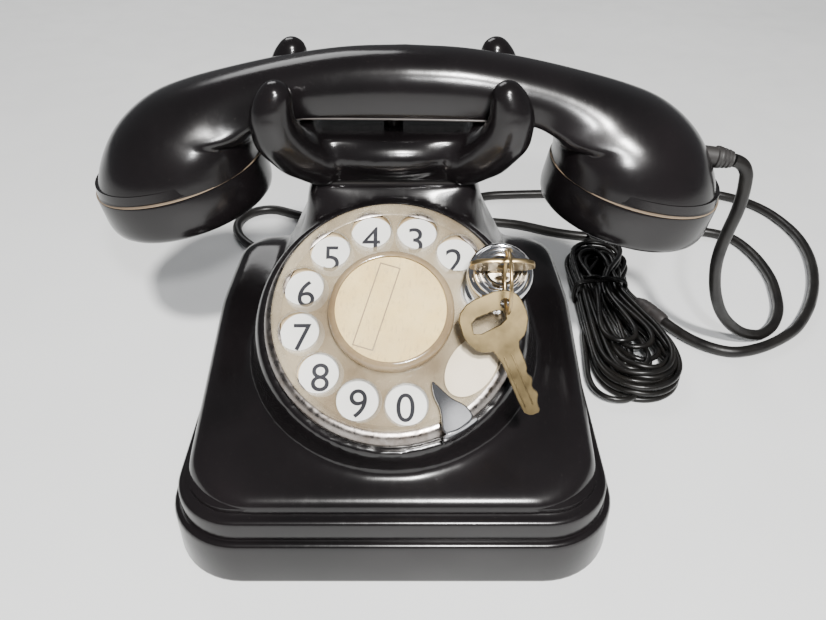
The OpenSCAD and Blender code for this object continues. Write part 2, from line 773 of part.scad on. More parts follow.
case_shell();
base_plate();
rubber_feet();
base_screws();
cradle();
cradle_screws();
hook_plunger();
switch_springs();
switch_bracket();
dial_ring();
number_plate();
finger_stop();
dial_frame();
dial_shaft();
main_gear();
return_spring();
pulse_pinion();
pulse_contacts();
governor();
governor_cup();
finger_wheel();
wheel_hub();
center_card();
card_cover();
card_ring();
lock_body();
lock_plug();
lock_key();
key_ring();
spare_key();
ringer_frame();
ringer_coils();
gong_left();
gong_right();
gong_screws();
clapper();
induction_coil();
condenser();
terminal_strip();
cord_grommets();
handset_handle();
ear_cap();
mouth_cap();
receiver_capsule();
transmitter_capsule();
handset_grommet();
handset_cord();
line_cord();
cord_joint();
hank();
hank_tie();
plug_lead();
wall_plug();
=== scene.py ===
import math

import bmesh
import bpy
import numpy as np
from mathutils import Matrix, Vector
from mathutils.geometry import tessellate_polygon


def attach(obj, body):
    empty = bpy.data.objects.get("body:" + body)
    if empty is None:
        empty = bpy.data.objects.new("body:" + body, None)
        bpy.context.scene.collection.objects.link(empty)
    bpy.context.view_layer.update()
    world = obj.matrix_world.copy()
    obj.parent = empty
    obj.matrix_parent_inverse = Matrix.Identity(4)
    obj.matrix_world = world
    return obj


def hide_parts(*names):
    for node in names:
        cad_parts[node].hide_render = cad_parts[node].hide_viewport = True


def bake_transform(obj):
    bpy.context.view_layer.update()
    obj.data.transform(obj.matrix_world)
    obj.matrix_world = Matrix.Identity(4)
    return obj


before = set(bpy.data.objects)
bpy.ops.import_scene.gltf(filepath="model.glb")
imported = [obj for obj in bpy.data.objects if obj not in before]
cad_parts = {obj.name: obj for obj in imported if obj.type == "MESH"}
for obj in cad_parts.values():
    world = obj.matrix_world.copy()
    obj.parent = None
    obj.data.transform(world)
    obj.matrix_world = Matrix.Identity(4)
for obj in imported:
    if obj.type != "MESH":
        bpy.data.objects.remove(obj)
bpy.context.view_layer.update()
MM = 0.001
TAU = 2 * math.pi
RNG = np.random.default_rng(7)

# ---------- camera, light and floor ----------

CAMERA_AT = (0.0070, -0.2437, 0.2318)
CAMERA_TILT = 54.17
CAMERA_LENS = 34.76


def linked(name, data):
    """A new object in the scene."""
    obj = bpy.data.objects.new(name, data)
    bpy.context.collection.objects.link(obj)
    return obj


def make_camera():
    cam = linked("camera", bpy.data.cameras.new("camera"))
    cam.location = CAMERA_AT
    cam.rotation_euler = (math.radians(CAMERA_TILT), 0, 0)
    cam.data.sensor_width = 36
    cam.data.lens = CAMERA_LENS
    cam.data.clip_start = 0.01
    bpy.context.scene.camera = cam


def area_light(name, at, aim, size, watts, colour=(1, 1, 1)):
    data = bpy.data.lights.new(name, "AREA")
    data.shape = "DISK"
    data.size = size
    data.energy = watts
    data.color = colour
    lamp = linked(name, data)
    lamp.location = at
    lamp.rotation_euler = (Vector(aim) - Vector(at)).to_track_quat("-Z", "Y").to_euler()


def make_lights():
    """A high key, a small flash near the camera, a faint lamp for the stop's chrome and a back light."""
    area_light("key", (0.22, -1.35, 1.75), (0.0, 0.03, 0.05), 0.16, 94.0, (1.0, 0.985, 0.96))
    area_light("flash", (0.05, -0.33, 0.36), (0.0, 0.02, 0.07), 0.03, 1.7)
    area_light("stop_glint", (0.054, -0.267, 0.519), (0.022, -0.066, 0.062), 0.035, 0.004)
    area_light("back_fill", (-0.5, 1.3, 1.3), (0.0, 0.1, 0.0), 0.9, 9.0)
    world = bpy.data.worlds.new("studio")
    bpy.context.scene.world = world
    world.use_nodes = True
    background = world.node_tree.nodes["Background"]
    background.inputs["Color"].default_value = (0.86, 0.88, 0.92, 1)
    background.inputs["Strength"].default_value = 0.17


# ---------- materials ----------


LOOKS = {}


class Shader:
    """A node material built step by step and kept in LOOKS; object coordinates are in metres."""

    def __init__(self, name):
        self.mat = LOOKS[name] = bpy.data.materials.new(name)
        self.mat.use_nodes = True
        self.tree = self.mat.node_tree
        self.bsdf = self.tree.nodes["Principled BSDF"]
        self.coords = self.tree.nodes.new("ShaderNodeTexCoord").outputs["Object"]
        self.height = None

    def link(self, out, into):
        self.tree.links.new(out, into)

    def put(self, value, socket):
        """Gives a socket a number, a colour or another node's output."""
        if isinstance(value, (int, float)):
            socket.default_value = value
        elif isinstance(value, tuple):
            socket.default_value = (*value, 1)
        else:
            self.link(value, socket)

    def node(self, kind, values):
        made = self.tree.nodes.new("ShaderNode" + kind)
        for name, value in values.items():
            made.inputs[name].default_value = value
        return made

    def stretched(self, scale):
        node = self.node("Mapping", {"Scale": scale})
        self.link(self.coords, node.inputs["Vector"])
        return node.outputs["Vector"]

    def noise(self, scale, detail=3.0, stretch=None, rough=0.5):
        node = self.node("TexNoise", {"Scale": scale, "Detail": detail, "Roughness": rough})
        self.link(self.stretched(stretch) if stretch else self.coords, node.inputs["Vector"])
        return node.outputs["Fac"]

    def ramp(self, value, stops):
        node = self.tree.nodes.new("ShaderNodeValToRGB")
        points = node.color_ramp.elements
        while len(points) < len(stops):
            points.new(0.5)
        for point, (at, colour) in zip(points, stops):
            point.position = at
            point.color = (*colour, 1) if len(colour) == 3 else colour
        self.link(value, node.inputs["Fac"])
        return node.outputs["Color"]

    def level(self, value, low, high, start=0.3, end=0.7):
        node = self.node("MapRange", {"From Min": start, "From Max": end, "To Min": low, "To Max": high})
        self.link(value, node.inputs["Value"])
        return node.outputs["Result"]

    def math(self, kind, a, b):
        node = self.tree.nodes.new("ShaderNodeMath")
        node.operation = kind
        for value, socket in zip((a, b), node.inputs):
            self.put(value, socket)
        return node.outputs["Value"]

    def mixed(self, share, a, b):
        node = self.tree.nodes.new("ShaderNodeMix")
        node.data_type = "RGBA"
        self.link(share, node.inputs["Factor"])
        self.put(a, node.inputs["A"])
        self.put(b, node.inputs["B"])
        return node.outputs["Result"]

    def bump(self, height, depth, strength=1.0):
        node = self.node("Bump", {"Distance": depth, "Strength": strength})
        self.link(height, node.inputs["Height"])
        if self.height is not None:
            self.link(self.height, node.inputs["Normal"])
        self.height = node.outputs["Normal"]
        self.link(self.height, self.bsdf.inputs["Normal"])

    def set(self, **values):
        for name, value in values.items():
            self.put(value, self.bsdf.inputs[name.replace("_", " ").title().replace("Ior", "IOR")])


def bakelite(name, dark=(0.0030, 0.0026, 0.0028), light=(0.0075, 0.0060, 0.0066)):
    """Polished black phenolic with dulled patches, dust and fine scratches."""
    s = Shader(name)
    clouds = s.noise(22, 4)
    tone = s.ramp(clouds, [(0.3, dark), (0.75, light)])
    dust = s.level(s.noise(1500, 2, rough=0.7), 0, 1, 0.70, 0.78)
    s.set(base_color=s.mixed(dust, tone, (0.045, 0.040, 0.038)))
    dull = s.level(s.noise(9, 3), 0.15, 0.25)
    scratch = s.level(s.noise(300, 2, stretch=(1, 0.2, 0.5)), 0.0, 0.03, 0.55, 0.75)
    s.set(roughness=s.math("ADD", dull, scratch))
    s.bump(s.noise(160, 2), 0.00012, 0.35)
    s.bump(s.noise(2200, 2), 0.00002, 0.5)
    s.set(ior=1.56, specular_ior_level=0.38)


def metal(name, colour, rough=(0.18, 0.4), grain=(1, 1, 1), grain_scale=600, tarnish=None, depth=0.00003):
    """Metal with directional grain, worn patches and tarnish."""
    s = Shader(name)
    spread = tuple(c * 0.72 for c in colour)
    tone = s.ramp(s.noise(60, 4), [(0.3, spread), (0.7, colour)])
    if tarnish:
        stain = s.level(s.noise(95, 5, rough=0.65), 0, 0.85, 0.48, 0.66)
        tone = s.mixed(stain, tone, tarnish)
    s.set(base_color=tone, metallic=1.0)
    s.set(roughness=s.level(s.noise(grain_scale, 3, stretch=grain), *rough))
    s.bump(s.noise(grain_scale, 2, stretch=grain), depth, 0.5)


def dull_plastic(name, dark, light, rough=(0.35, 0.6), depth=0.00006, scale=120):
    """Moulded plastic, rubber, enamel or paper with mottled tone and a fine bump."""
    s = Shader(name)
    s.set(base_color=s.ramp(s.noise(scale / 3, 4), [(0.3, dark), (0.7, light)]))
    s.set(roughness=s.level(s.noise(scale, 3), *rough))
    s.bump(s.noise(scale * 6, 3), depth, 0.5)


def clear_plastic(name, dark, light, alpha):
    """Aged clear plastic: yellowed, crazed and scratched."""
    s = Shader(name)
    s.set(base_color=s.ramp(s.noise(40, 4), [(0.25, dark), (0.75, light)]))
    craze = s.level(s.noise(900, 3, stretch=(1, 0.15, 1)), 0, 0.12, 0.56, 0.7)
    s.set(alpha=s.math("ADD", s.level(s.noise(60, 3), alpha - 0.05, alpha + 0.07), craze))
    s.set(roughness=s.level(s.noise(240, 3), 0.04, 0.2))
    s.bump(s.noise(70, 2), 0.0001, 0.3)
    s.bump(s.noise(1400, 2, stretch=(1, 0.1, 1)), 0.00003, 0.6)
    s.set(ior=1.49, specular_ior_level=0.9)


def rubber_cord(name, dark, light, pitch, rough=(0.28, 0.5)):
    """Rubber-covered flexible cord with a fine moulded skin."""
    s = Shader(name)
    s.set(base_color=s.ramp(s.noise(90, 4), [(0.3, dark), (0.7, light)]))
    s.set(roughness=s.level(s.noise(160, 3), *rough))
    s.bump(s.noise(pitch, 3), 0.00008, 0.5)
    s.set(specular_ior_level=0.32)


def make_materials():
    bakelite("bakelite")
    bakelite("worn_bakelite", (0.012, 0.009, 0.009), (0.03, 0.022, 0.02))
    dull_plastic("plate_steel", (0.12, 0.11, 0.10), (0.20, 0.18, 0.16), (0.4, 0.6))
    dull_plastic("foot_rubber", (0.012, 0.012, 0.012), (0.03, 0.03, 0.028), (0.6, 0.9))
    metal("steel", (0.55, 0.53, 0.50), tarnish=(0.22, 0.19, 0.16))
    metal("spring_alloy", (0.66, 0.61, 0.50), tarnish=(0.35, 0.30, 0.2))
    metal("dial_ring_metal", (0.34, 0.31, 0.29), (0.2, 0.45), tarnish=(0.16, 0.13, 0.11))
    metal("chrome", (0.80, 0.80, 0.82), (0.07, 0.12), grain_scale=90, depth=0.000004)
    metal("casting", (0.50, 0.49, 0.46), (0.4, 0.6), depth=0.0001)
    metal("gear_brass", (0.62, 0.45, 0.19), tarnish=(0.30, 0.20, 0.08))
    metal("key_brass", (0.50, 0.37, 0.19), (0.26, 0.36), grain_scale=150,
          tarnish=(0.34, 0.25, 0.13), depth=0.00003)
    metal("pale_brass", (0.20, 0.15, 0.075), (0.28, 0.42), grain_scale=150,
          tarnish=(0.12, 0.09, 0.045), depth=0.00004)
    metal("blue_spring", (0.16, 0.20, 0.30))
    metal("copper", (0.55, 0.25, 0.12), (0.3, 0.5), grain=(0.05, 1, 1), depth=0.0002)
    metal("zinc", (0.48, 0.47, 0.45), (0.35, 0.6), tarnish=(0.3, 0.29, 0.27))
    metal("gong", (0.72, 0.68, 0.58), (0.15, 0.35), tarnish=(0.4, 0.36, 0.28))
    dull_plastic("phenolic", (0.10, 0.045, 0.02), (0.18, 0.08, 0.035))
    dull_plastic("enamel", (0.66, 0.66, 0.62), (0.80, 0.80, 0.77), (0.25, 0.4), 0.00003)
    dull_plastic("aged_plate", (0.22, 0.14, 0.06), (0.58, 0.46, 0.28), (0.3, 0.5), 0.00005, 200)
    dull_plastic("numeral_ink", (0.008, 0.008, 0.011), (0.02, 0.02, 0.026), (0.8, 0.95))
    dull_plastic("ivory", (0.42, 0.34, 0.19), (0.55, 0.46, 0.28), (0.3, 0.5))
    dull_plastic("card_paper", (0.84, 0.61, 0.23), (0.94, 0.74, 0.36), (0.6, 0.8), 0.00008, 240)
    dull_plastic("card_ink", (0.16, 0.11, 0.07), (0.26, 0.19, 0.12))
    # cream colour for the painted reflection of the flash on the dial wheel
    dull_plastic("cream_painted_reflection", (0.60, 0.50, 0.35), (0.74, 0.64, 0.48), (0.4, 0.6), 0.00003)
    clear_plastic("wheel_clear", (0.12, 0.075, 0.035), (0.70, 0.60, 0.42), 0.46)
    clear_plastic("cover_clear", (0.62, 0.50, 0.28), (0.80, 0.68, 0.44), 0.12)
    clear_plastic("card_ring", (0.17, 0.11, 0.055), (0.42, 0.32, 0.19), 0.80)
    rubber_cord("cord_jacket", (0.005, 0.0045, 0.0045), (0.012, 0.011, 0.010), 700)
    rubber_cord("thin_jacket", (0.004, 0.004, 0.004), (0.010, 0.009, 0.008), 900, (0.22, 0.40))
    dull_plastic("soft_rubber", (0.010, 0.009, 0.009), (0.022, 0.020, 0.019), (0.4, 0.65))
    dull_plastic("joint_rubber", (0.014, 0.012, 0.012), (0.03, 0.026, 0.025), (0.35, 0.6))
    dull_plastic("tan_seam", (0.13, 0.095, 0.065), (0.24, 0.18, 0.12), (0.5, 0.7))
    # lighter colour for the handle's edge ridges: a painted highlight
    dull_plastic("ridge_painted_highlight", (0.035, 0.03, 0.027), (0.08, 0.07, 0.065), (0.3, 0.5))


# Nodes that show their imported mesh, by material
LOOK_NODES = {
    "plate_steel": "base_plate",
    "foot_rubber": "rubber_feet",
    "steel": "base_screws cradle_screws switch_bracket dial_shaft ringer_frame gong_screws clapper",
    "worn_bakelite": "hook_plunger",
    "spring_alloy": "switch_springs pulse_contacts",
    "casting": "dial_frame governor_cup",
    "gear_brass": "main_gear pulse_pinion governor",
    "blue_spring": "return_spring",
    "ivory": "wheel_hub",
    "copper": "ringer_coils induction_coil",
    "gong": "gong_left gong_right",
    "zinc": "condenser receiver_capsule transmitter_capsule",
    "phenolic": "terminal_strip",
}

# ---------- mesh helpers ----------


def moved(x, y, z):
    return Matrix.Translation((x, y, z))


def rotated(degrees, axis):
    return Matrix.Rotation(math.radians(degrees), 4, axis)


def powered(value, power):
    """A power that keeps the sign."""
    return math.copysign(abs(value) ** power, value)


def circle_points(x, y, r, sides=48):
    return [(x + r * math.cos(TAU * k / sides), y + r * math.sin(TAU * k / sides)) for k in range(sides)]


def arc_point(spot, radius, angle):
    a = math.radians(angle)
    return spot[0] + radius * math.cos(a), spot[1] + radius * math.sin(a)


def add_object(name, points, faces, look, body, sharp=40.0):
    """A mesh piece from points in metres, riding on a body."""
    mesh = bpy.data.meshes.new(name)
    mesh.from_pydata([tuple(p) for p in points], [], [tuple(f) for f in faces])
    mesh.update()
    bm = bmesh.new()
    bm.from_mesh(mesh)
    bmesh.ops.recalc_face_normals(bm, faces=bm.faces)
    bm.to_mesh(mesh)
    bm.free()
    mesh.shade_smooth()
    mesh.set_sharp_from_angle(angle=math.radians(sharp))
    mesh.materials.append(LOOKS[look])
    obj = linked(name, mesh)
    if body:
        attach(obj, body)
    return obj


class Build:
    """Collects points in millimetres and faces for one piece."""

    def __init__(self):
        self.points, self.faces = [], []

    def add(self, points, faces, place=None):
        base = len(self.points)
        for p in points:
            self.points.append(place @ Vector(p) if place else Vector(p))
        self.faces += [tuple(i + base for i in f) for f in faces]

    def loft(self, rings, place=None, caps=(True, True)):
        """Skin over closed rings of equal length; each ring is a list of points."""
        n, count = len(rings[0]), len(rings)
        faces = []
        for i in range(count - 1):
            a, b = i * n, (i + 1) * n
            for k in range(n):
                m = (k + 1) % n
                faces.append((a + k, a + m, b + m, b + k))
        if caps[0]:
            faces.append(tuple(range(n - 1, -1, -1)))
        if caps[1]:
            faces.append(tuple((count - 1) * n + k for k in range(n)))
        self.add([p for ring in rings for p in ring], faces, place)

    def lathe(self, profile, place=None, sides=64, caps=(True, True)):
        """A round body from its half section, a list of (radius, height)."""
        rings = [[(x, y, z) for x, y in circle_points(0, 0, r, sides)] for r, z in profile]
        self.loft(rings, place, caps)

    def plate(self, outline, holes, low, high, round_off=0.4, place=None):
        """A flat plate with rounded edges; the outline and each hole are lists of points."""
        shapes = [(outline, -1)] + [(hole, 1) for hole in holes]
        for z in (high, low):
            flat = [[Vector((x, y, 0)) for x, y in offset_outline(shape, sign * round_off)]
                    for shape, sign in shapes]
            triangles = tessellate_polygon(flat)
            points = [(p.x, p.y, z) for ring in flat for p in ring]
            self.add(points, triangles, place)
        soft = 0.3 * round_off
        edge = [(round_off, 0.0), (soft, soft), (0.0, round_off)]
        for shape, sign in shapes:
            levels = [(out, high - down) for out, down in edge] + [(out, low + up) for out, up in edge[::-1]]
            rings = [[(x, y, z) for x, y in offset_outline(shape, sign * out)] for out, z in levels]
            self.loft(rings, place, caps=(False, False))

    def make(self, name, look, body, sharp=40.0):
        return add_object(name, [p * MM for p in self.points], self.faces, look, body, sharp)


def offset_outline(ring, out):
    """A closed outline moved outwards along its own normals."""
    p = np.array(ring)
    ahead, behind = np.roll(p, -1, 0), np.roll(p, 1, 0)
    t = ahead - behind
    t /= np.linalg.norm(t, axis=1)[:, None]
    normal = np.stack([t[:, 1], -t[:, 0]], 1)
    area = 0.5 * np.sum(p[:, 0] * ahead[:, 1] - ahead[:, 0] * p[:, 1])
    return [tuple(q) for q in p + normal * (out if area > 0 else -out)]


def round_box(half_w, front, back, r, z, per_corner=12):
    """Points of a rectangle with round corners at one height."""
    corners = ((half_w - r, back - r, 0), (-half_w + r, back - r, 90),
               (-half_w + r, front + r, 180), (half_w - r, front + r, 270))
    return [(*arc_point((x, y), r, start + 90 * k / per_corner), z)
            for x, y, start in corners for k in range(per_corner + 1)]


def ball_points(centre, r, n=10):
    x, y, z = centre
    return [(x + r * math.sin(math.pi * i / n) * math.cos(TAU * k / n),
             y + r * math.sin(math.pi * i / n) * math.sin(TAU * k / n),
             z + r * math.cos(math.pi * i / n)) for i in range(n + 1) for k in range(n)]


def hull_into(bm, clouds):
    """Adds the convex hull of some point clouds to a bmesh."""
    verts = [bm.verts.new(p) for cloud in clouds for p in cloud]
    result = bmesh.ops.convex_hull(bm, input=verts)
    loose = [v for v in result["geom_interior"] if isinstance(v, bmesh.types.BMVert)]
    bmesh.ops.delete(bm, geom=loose, context="VERTS")


def taken(obj):
    """Points and faces of a scratch object, which is removed."""
    mesh = bpy.data.meshes.new_from_object(obj.evaluated_get(bpy.context.evaluated_depsgraph_get()))
    bpy.data.objects.remove(obj)
    return [v.co.copy() for v in mesh.vertices], [tuple(p.vertices) for p in mesh.polygons]


def remeshed(bm, voxel):
    """One closed skin over overlapping solids, as (points, quads) in millimetres."""
    mesh = bpy.data.meshes.new("skin")
    bm.to_mesh(mesh)
    bm.free()
    obj = linked("skin", mesh)
    change = obj.modifiers.new("remesh", "REMESH")
    change.mode = "VOXEL"
    change.voxel_size = voxel
    points, faces = taken(obj)
    return np.array(points), faces


def smoothed(points, faces, rounds, weight):
    """Laplacian smoothing; weight is how far each point may follow, from 0 to 1."""
    pairs = np.array([(f[k], f[(k + 1) % len(f)]) for f in faces for k in range(len(f))])
    a, b = pairs[:, 0], pairs[:, 1]
    count = np.bincount(a, minlength=len(points)) + np.bincount(b, minlength=len(points))
    for _ in range(rounds):
        total = np.zeros_like(points)
        for axis in range(3):
            total[:, axis] = (np.bincount(a, points[b, axis], len(points))
                              + np.bincount(b, points[a, axis], len(points)))
        mean = total / count[:, None]
        points = points + 0.6 * weight[:, None] * (mean - points)
    return points


def spline(points, steps):
    """Catmull-Rom curve through points."""
    p = np.array(points, float)
    p = np.vstack([2 * p[0] - p[1], p, 2 * p[-1] - p[-2]])
    out = []
    for i in range(1, len(p) - 2):
        for k in range(steps):
            t = k / steps
            out.append(0.5 * (2 * p[i] + (p[i + 1] - p[i - 1]) * t
                              + (2 * p[i - 1] - 5 * p[i] + 4 * p[i + 1] - p[i + 2]) * t * t
                              + (3 * p[i] - p[i - 1] - 3 * p[i + 1] + p[i + 2]) * t ** 3))
    out.append(p[-2])
    return np.array(out)


def cord_tube(build, path, r, sides=14):
    """A round tube along a path of points in millimetres, without twist."""
    t = np.gradient(path, axis=0)
    t /= np.linalg.norm(t, axis=1)[:, None]
    side = np.array([0.3, 0.2, 1.0])
    rings = []
    for p, d in zip(path, t):
        side = side - d * (side @ d)
        side /= np.linalg.norm(side)
        up = np.cross(d, side)
        rings.append([tuple(p + r * (math.cos(TAU * k / sides) * side + math.sin(TAU * k / sides) * up))
                      for k in range(sides)])
    build.loft(rings)


def cord_skin(name, path, r, jacket, body, sides=14):
    build = Build()
    cord_tube(build, path, r, sides)
    return build.make(name, jacket, body)


# ---------- cords ----------

CRADLE_Y = 29.3
HANDSET = moved(4.0, CRADLE_Y, 0) @ rotated(-2, "Z")
HANDSET_BACK = HANDSET.inverted()

CORD_D, LEAD_D = 5.0, 2.5
ON_FLOOR = 2.6


def laid(route):
    """A cord's route; a point without a height lies on the floor."""
    return [p if len(p) == 3 else (*p, ON_FLOOR) for p in route]


HANDSET_ROUTE = laid([
    (-42, 84.2, 12), (-42, 87, 12), (-42.4, 94, 10), (-46, 104, 5), (-56, 116), (-70, 125), (-82, 134),
    (-91, 146), (-94, 160), (-88, 172), (-76, 176), (-62, 170), (-46, 162), (-22, 157), (0, 158),
    (13, 159, 5), (23, 160, 7.8), (33, 161, 5), (46, 162), (67, 158), (88, 149), (110, 144), (134, 146),
    (150, 149), (164, 150.5), (176, 148.5), (186.5, 141), (192, 124), (193, 104), (190.5, 88), (186, 73),
    (178.5, 60.5, 2.7), (169.5, 52.8, 3.6), (159.5, 49, 7.5), (150.5, 46, 15), (143, 42.5, 25),
    (137.3, 39.5, 37), (133.8, 37, 49), (132, 34, 60), (131.6, 30.5, 72), (131.7, 27.4, 82.5),
    (131.4, 25.8, 91), (130.7, 25.2, 98), (130, 25.1, 100.7), (128.6, 25.1, 103), (126.6, 25.1, 104.6),
    (124.4, 25.1, 105.4)])
LINE_ROUTE = laid([
    (22, 84.2, 12), (22, 87, 12), (22, 94, 10), (22, 104, 5), (22, 118), (22, 146), (23, 160), (28, 174),
    (38, 186), (52, 193), (68, 195), (90, 196), (114, 197), (138, 198), (162, 199), (180, 198),
    (194, 194.5), (206, 187), (215.5, 175), (221, 160), (223.4, 144), (222.4, 128), (218.8, 112), (213, 96),
    (205.5, 81), (197, 68), (188, 57.5), (176.5, 49), (165, 43.3), (154, 41), (145, 43.8), (137, 50, 2.7),
    (131, 57.2, 3.1), (126.5, 64.2, 3.5)])
LEAD_ROUTE = [(104.1, 131.8, 7), (105, 137, 7.4), (106.5, 143.5, 7.2), (108.5, 150, 6.4),
    (111.2, 154.8, 5.3), (112.8, 159.4, 4.7)]
JOINT_AT, JOINT_TURN, JOINT_LONG = (126.4, 64.4, 3.6), 116.5, 18.0
JOINT_END = (*arc_point(JOINT_AT, JOINT_LONG, JOINT_TURN), JOINT_AT[2])
# Hank: upper lobe, waist under the tie, and fan, each as a centre and a half width
LOBE, WAIST, FAN = (103.0, 115.0, 15.2), (99.3, 84.0, 9.8), (106.0, 27.0, 18.6)
# One turn's lower bend is a loose loop; every fifth turn's upper bend is in a smaller lobe at the right
LOOSE_TURN, LOOSE_LOOP, LOOSE_R = 5, (94.5, 17.0), 11.5
SIDE_EVERY, SIDE_FIRST, SIDE_LOBE, SIDE_R = 5, 2, (113.0, 111.0), 8.2
HANK_TURNS, STATIONS_A_TURN, STRAND_RISE = 17, 18, 0.66
# How far a turn lies inside the widest one, from 0 to 1, and what that takes off each half width
INWARD = (0.0, 0.4, 0.85, 0.2, 1.0, 0.6)
LOBE_SHRINK, WAIST_SHRINK, FAN_SHRINK = 7.0, 8.0, 9.5
# Distance between the points of the settled path, and how many of them lead in to the first turn
PATH_STEP, LEAD_IN_POINTS = 2.6, 18
# How strands settle: points along a strand that don't push each other, points over which an end comes free,
# share of an overlap and longest move in a round, how far the cord sinks in it, and the rounds
SAME_STRAND, FREE_END, PUSH_SHARE, PUSH_MOST, SINK, SETTLE_ROUNDS = 8, 12, 0.2, 0.7, 0.03, 45


def nested(shape, r, shorter):
    """Centre for a loop of radius r inside a lobe of the hank, drawn in towards the waist."""
    room = 0.75 * (shape[2] - r)
    return shape[0] + room * RNG.uniform(-1, 1), shape[1] + room * RNG.uniform(-0.4, 0.4) + shorter


def hank_bends(n):
    """Centres and radii of one turn's two bends, and its half width at the waist."""
    inward = INWARD[n % len(INWARD)]
    lobe_r, fan_r = LOBE[2] - LOBE_SHRINK * inward, FAN[2] - FAN_SHRINK * inward
    lobe, fan = nested(LOBE, lobe_r, -6 * inward), nested(FAN, fan_r, RNG.uniform(4, 25) * inward)
    if n == LOOSE_TURN:
        fan, fan_r = LOOSE_LOOP, LOOSE_R
    if n % SIDE_EVERY == SIDE_FIRST:
        lobe, lobe_r = SIDE_LOBE, SIDE_R
    return lobe, lobe_r, fan, fan_r, WAIST[2] - WAIST_SHRINK * inward


def hank_turn(n, bends, following):
    """Control points of one turn: down the left, round the fan, up the right and over the next lobe."""
    lobe, lobe_r, fan, fan_r, waist_r = bends

    def column(side, bend, bend_r):
        points = []
        stations = ((101.5, 0.55, bend, bend_r), (84, 0, fan, fan_r), (64, 0.42, fan, fan_r))
        for y, share, other, other_r in stations:
            x = WAIST[0] + (other[0] - WAIST[0]) * share
            points.append((x + side * (waist_r + (other_r - waist_r) * share), y))
        return points

    points = column(-1, lobe, lobe_r)
    points += [arc_point(fan, fan_r, 168 + 34 * k) for k in range(7)]
    points += column(1, following[0], following[1])[::-1]
    points += [arc_point(following[0], following[1], 6 + 42 * k) for k in range(5)]
    return [(x, y, 1.35 + STRAND_RISE * (n + k / STATIONS_A_TURN)) for k, (x, y) in enumerate(points)]


def even(path, step):
    """The same curve with points at equal distances."""
    along = np.concatenate([[0], np.cumsum(np.linalg.norm(np.diff(path, axis=0), axis=1))])
    at = np.linspace(0, along[-1], int(along[-1] / step) + 1)
    return np.stack([np.interp(at, along, path[:, axis]) for axis in range(3)], 1)


def settled(path, gap):
    """Moves strands of a cord apart until they only touch, and keeps them on or above the floor."""
    index = np.arange(len(path))
    near = np.abs(index[:, None] - index[None, :]) < SAME_STRAND
    free = np.clip(np.minimum(index, index[::-1]) / FREE_END, 0, 1)[:, None]
    for _ in range(SETTLE_ROUNDS):
        apart = path[:, None, :] - path[None, :, :]
        distance = np.sqrt((apart ** 2).sum(-1)) + 1e-6
        push = np.clip(gap - distance, 0, None)
        push[near] = 0
        move = PUSH_SHARE * (apart * (push / distance)[..., None]).sum(1)
        path += free * np.clip(move, -PUSH_MOST, PUSH_MOST)
        path[1:-1] = 0.1 * path[:-2] + 0.8 * path[1:-1] + 0.1 * path[2:]
        path[:, 2] = np.maximum(path[:, 2] - SINK * free[:, 0], gap / 2)
    return path


def hank_route():
    """The thin cord from the joint through all its turns to the plug."""
    lead_in = [JOINT_END, (114.6, 88.0, 3.2), (115.4, 97.0, 2.2), (118.4, 106.0, 1.5), (117.0, 117.5, 1.4),
               (111.5, 127.0, 1.4), (LOBE[0], LOBE[1] + LOBE[2], 1.4), (LOBE[0] - 11.0, LOBE[1] + 9.0, 1.4)]
    bends = [hank_bends(n) for n in range(HANK_TURNS)]
    bends.append((LOBE[:2], LOBE[2], *bends[0][2:]))
    turns = [point for n in range(HANK_TURNS) for point in hank_turn(n, bends[n], bends[n + 1])][:-2]
    top = turns[-1][2]
    lead_out = [(102.6, 135.0, 0.5 * (top + 7.4))]
    return settled(even(spline(lead_in + turns + lead_out + LEAD_ROUTE[1:], 4), PATH_STEP), LEAD_D)


def make_cords():
    grommets, handset_grommet = make_grommets()
    hank_path = hank_route()
    joint, tie, plug = make_joint(), make_tie(hank_path), make_plug()

    path = spline(HANDSET_ROUTE, 6)
    cord = cord_skin("handset_cord_skin", path, CORD_D / 2, "cord_jacket", None)
    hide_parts("handset_cord")
    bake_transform(cord)

    path = spline(LINE_ROUTE, 6)
    cord = cord_skin("line_cord_skin", path, CORD_D / 2, "cord_jacket", "case")
    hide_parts("line_cord")

    cord = cord_skin("hank_skin", spline(hank_path, 2), LEAD_D / 2, "thin_jacket", "case", sides=10)
    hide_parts("hank", "plug_lead")


def ribbed_profile(start, end, r0, r1, ribs):
    """Half section of a tapered sleeve with moulded ribs."""
    profile = [(0.5, start), (r0 * 0.93, start), (r0, start + 0.4)]
    for i in range(ribs):
        a, b = i / ribs, (i + 1) / ribs
        for t, dip in ((0.15, 0), (0.45, 0), (0.6, 0.35), (0.85, 0.35)):
            f = a + (b - a) * t
            profile.append((r0 + (r1 - r0) * f - dip, start + 0.6 + (end - start - 1.0) * f))
    return profile + [(r1 - 0.2, end - 0.2), (r1 - 0.8, end), (0.5, end)]


def make_grommets():
    build = Build()
    for x in (HANDSET_ROUTE[0][0], LINE_ROUTE[0][0]):
        place = moved(x, 0, 12) @ rotated(-90, "X")
        build.lathe([(0.5, 65), (4.2, 65), (4.2, 77), (5.4, 77.2), (5.4, 78.6), (4.9, 79.0)], place, 32)
        build.lathe(ribbed_profile(78.8, 84, 4.7, 3.3, 3), place, 32)
    grommets = build.make("cord_grommets_skin", "soft_rubber", "case")
    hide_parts("cord_grommets")
    build = Build()
    place = HANDSET @ moved(112.4, 0, 106.9) @ rotated(100, "Y")
    build.lathe([(0.5, -5), (3.3, -5), (3.6, 0.8), (4.1, 1.2), (4.1, 2.2)], place, 32)
    build.lathe(ribbed_profile(2.0, 7.5, 4.0, 3.3, 3), place, 32)
    sleeve = build.make("handset_grommet_skin", "soft_rubber", "handset")
    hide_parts("handset_grommet")
    return grommets, sleeve


BLOCK_STEPS = 6


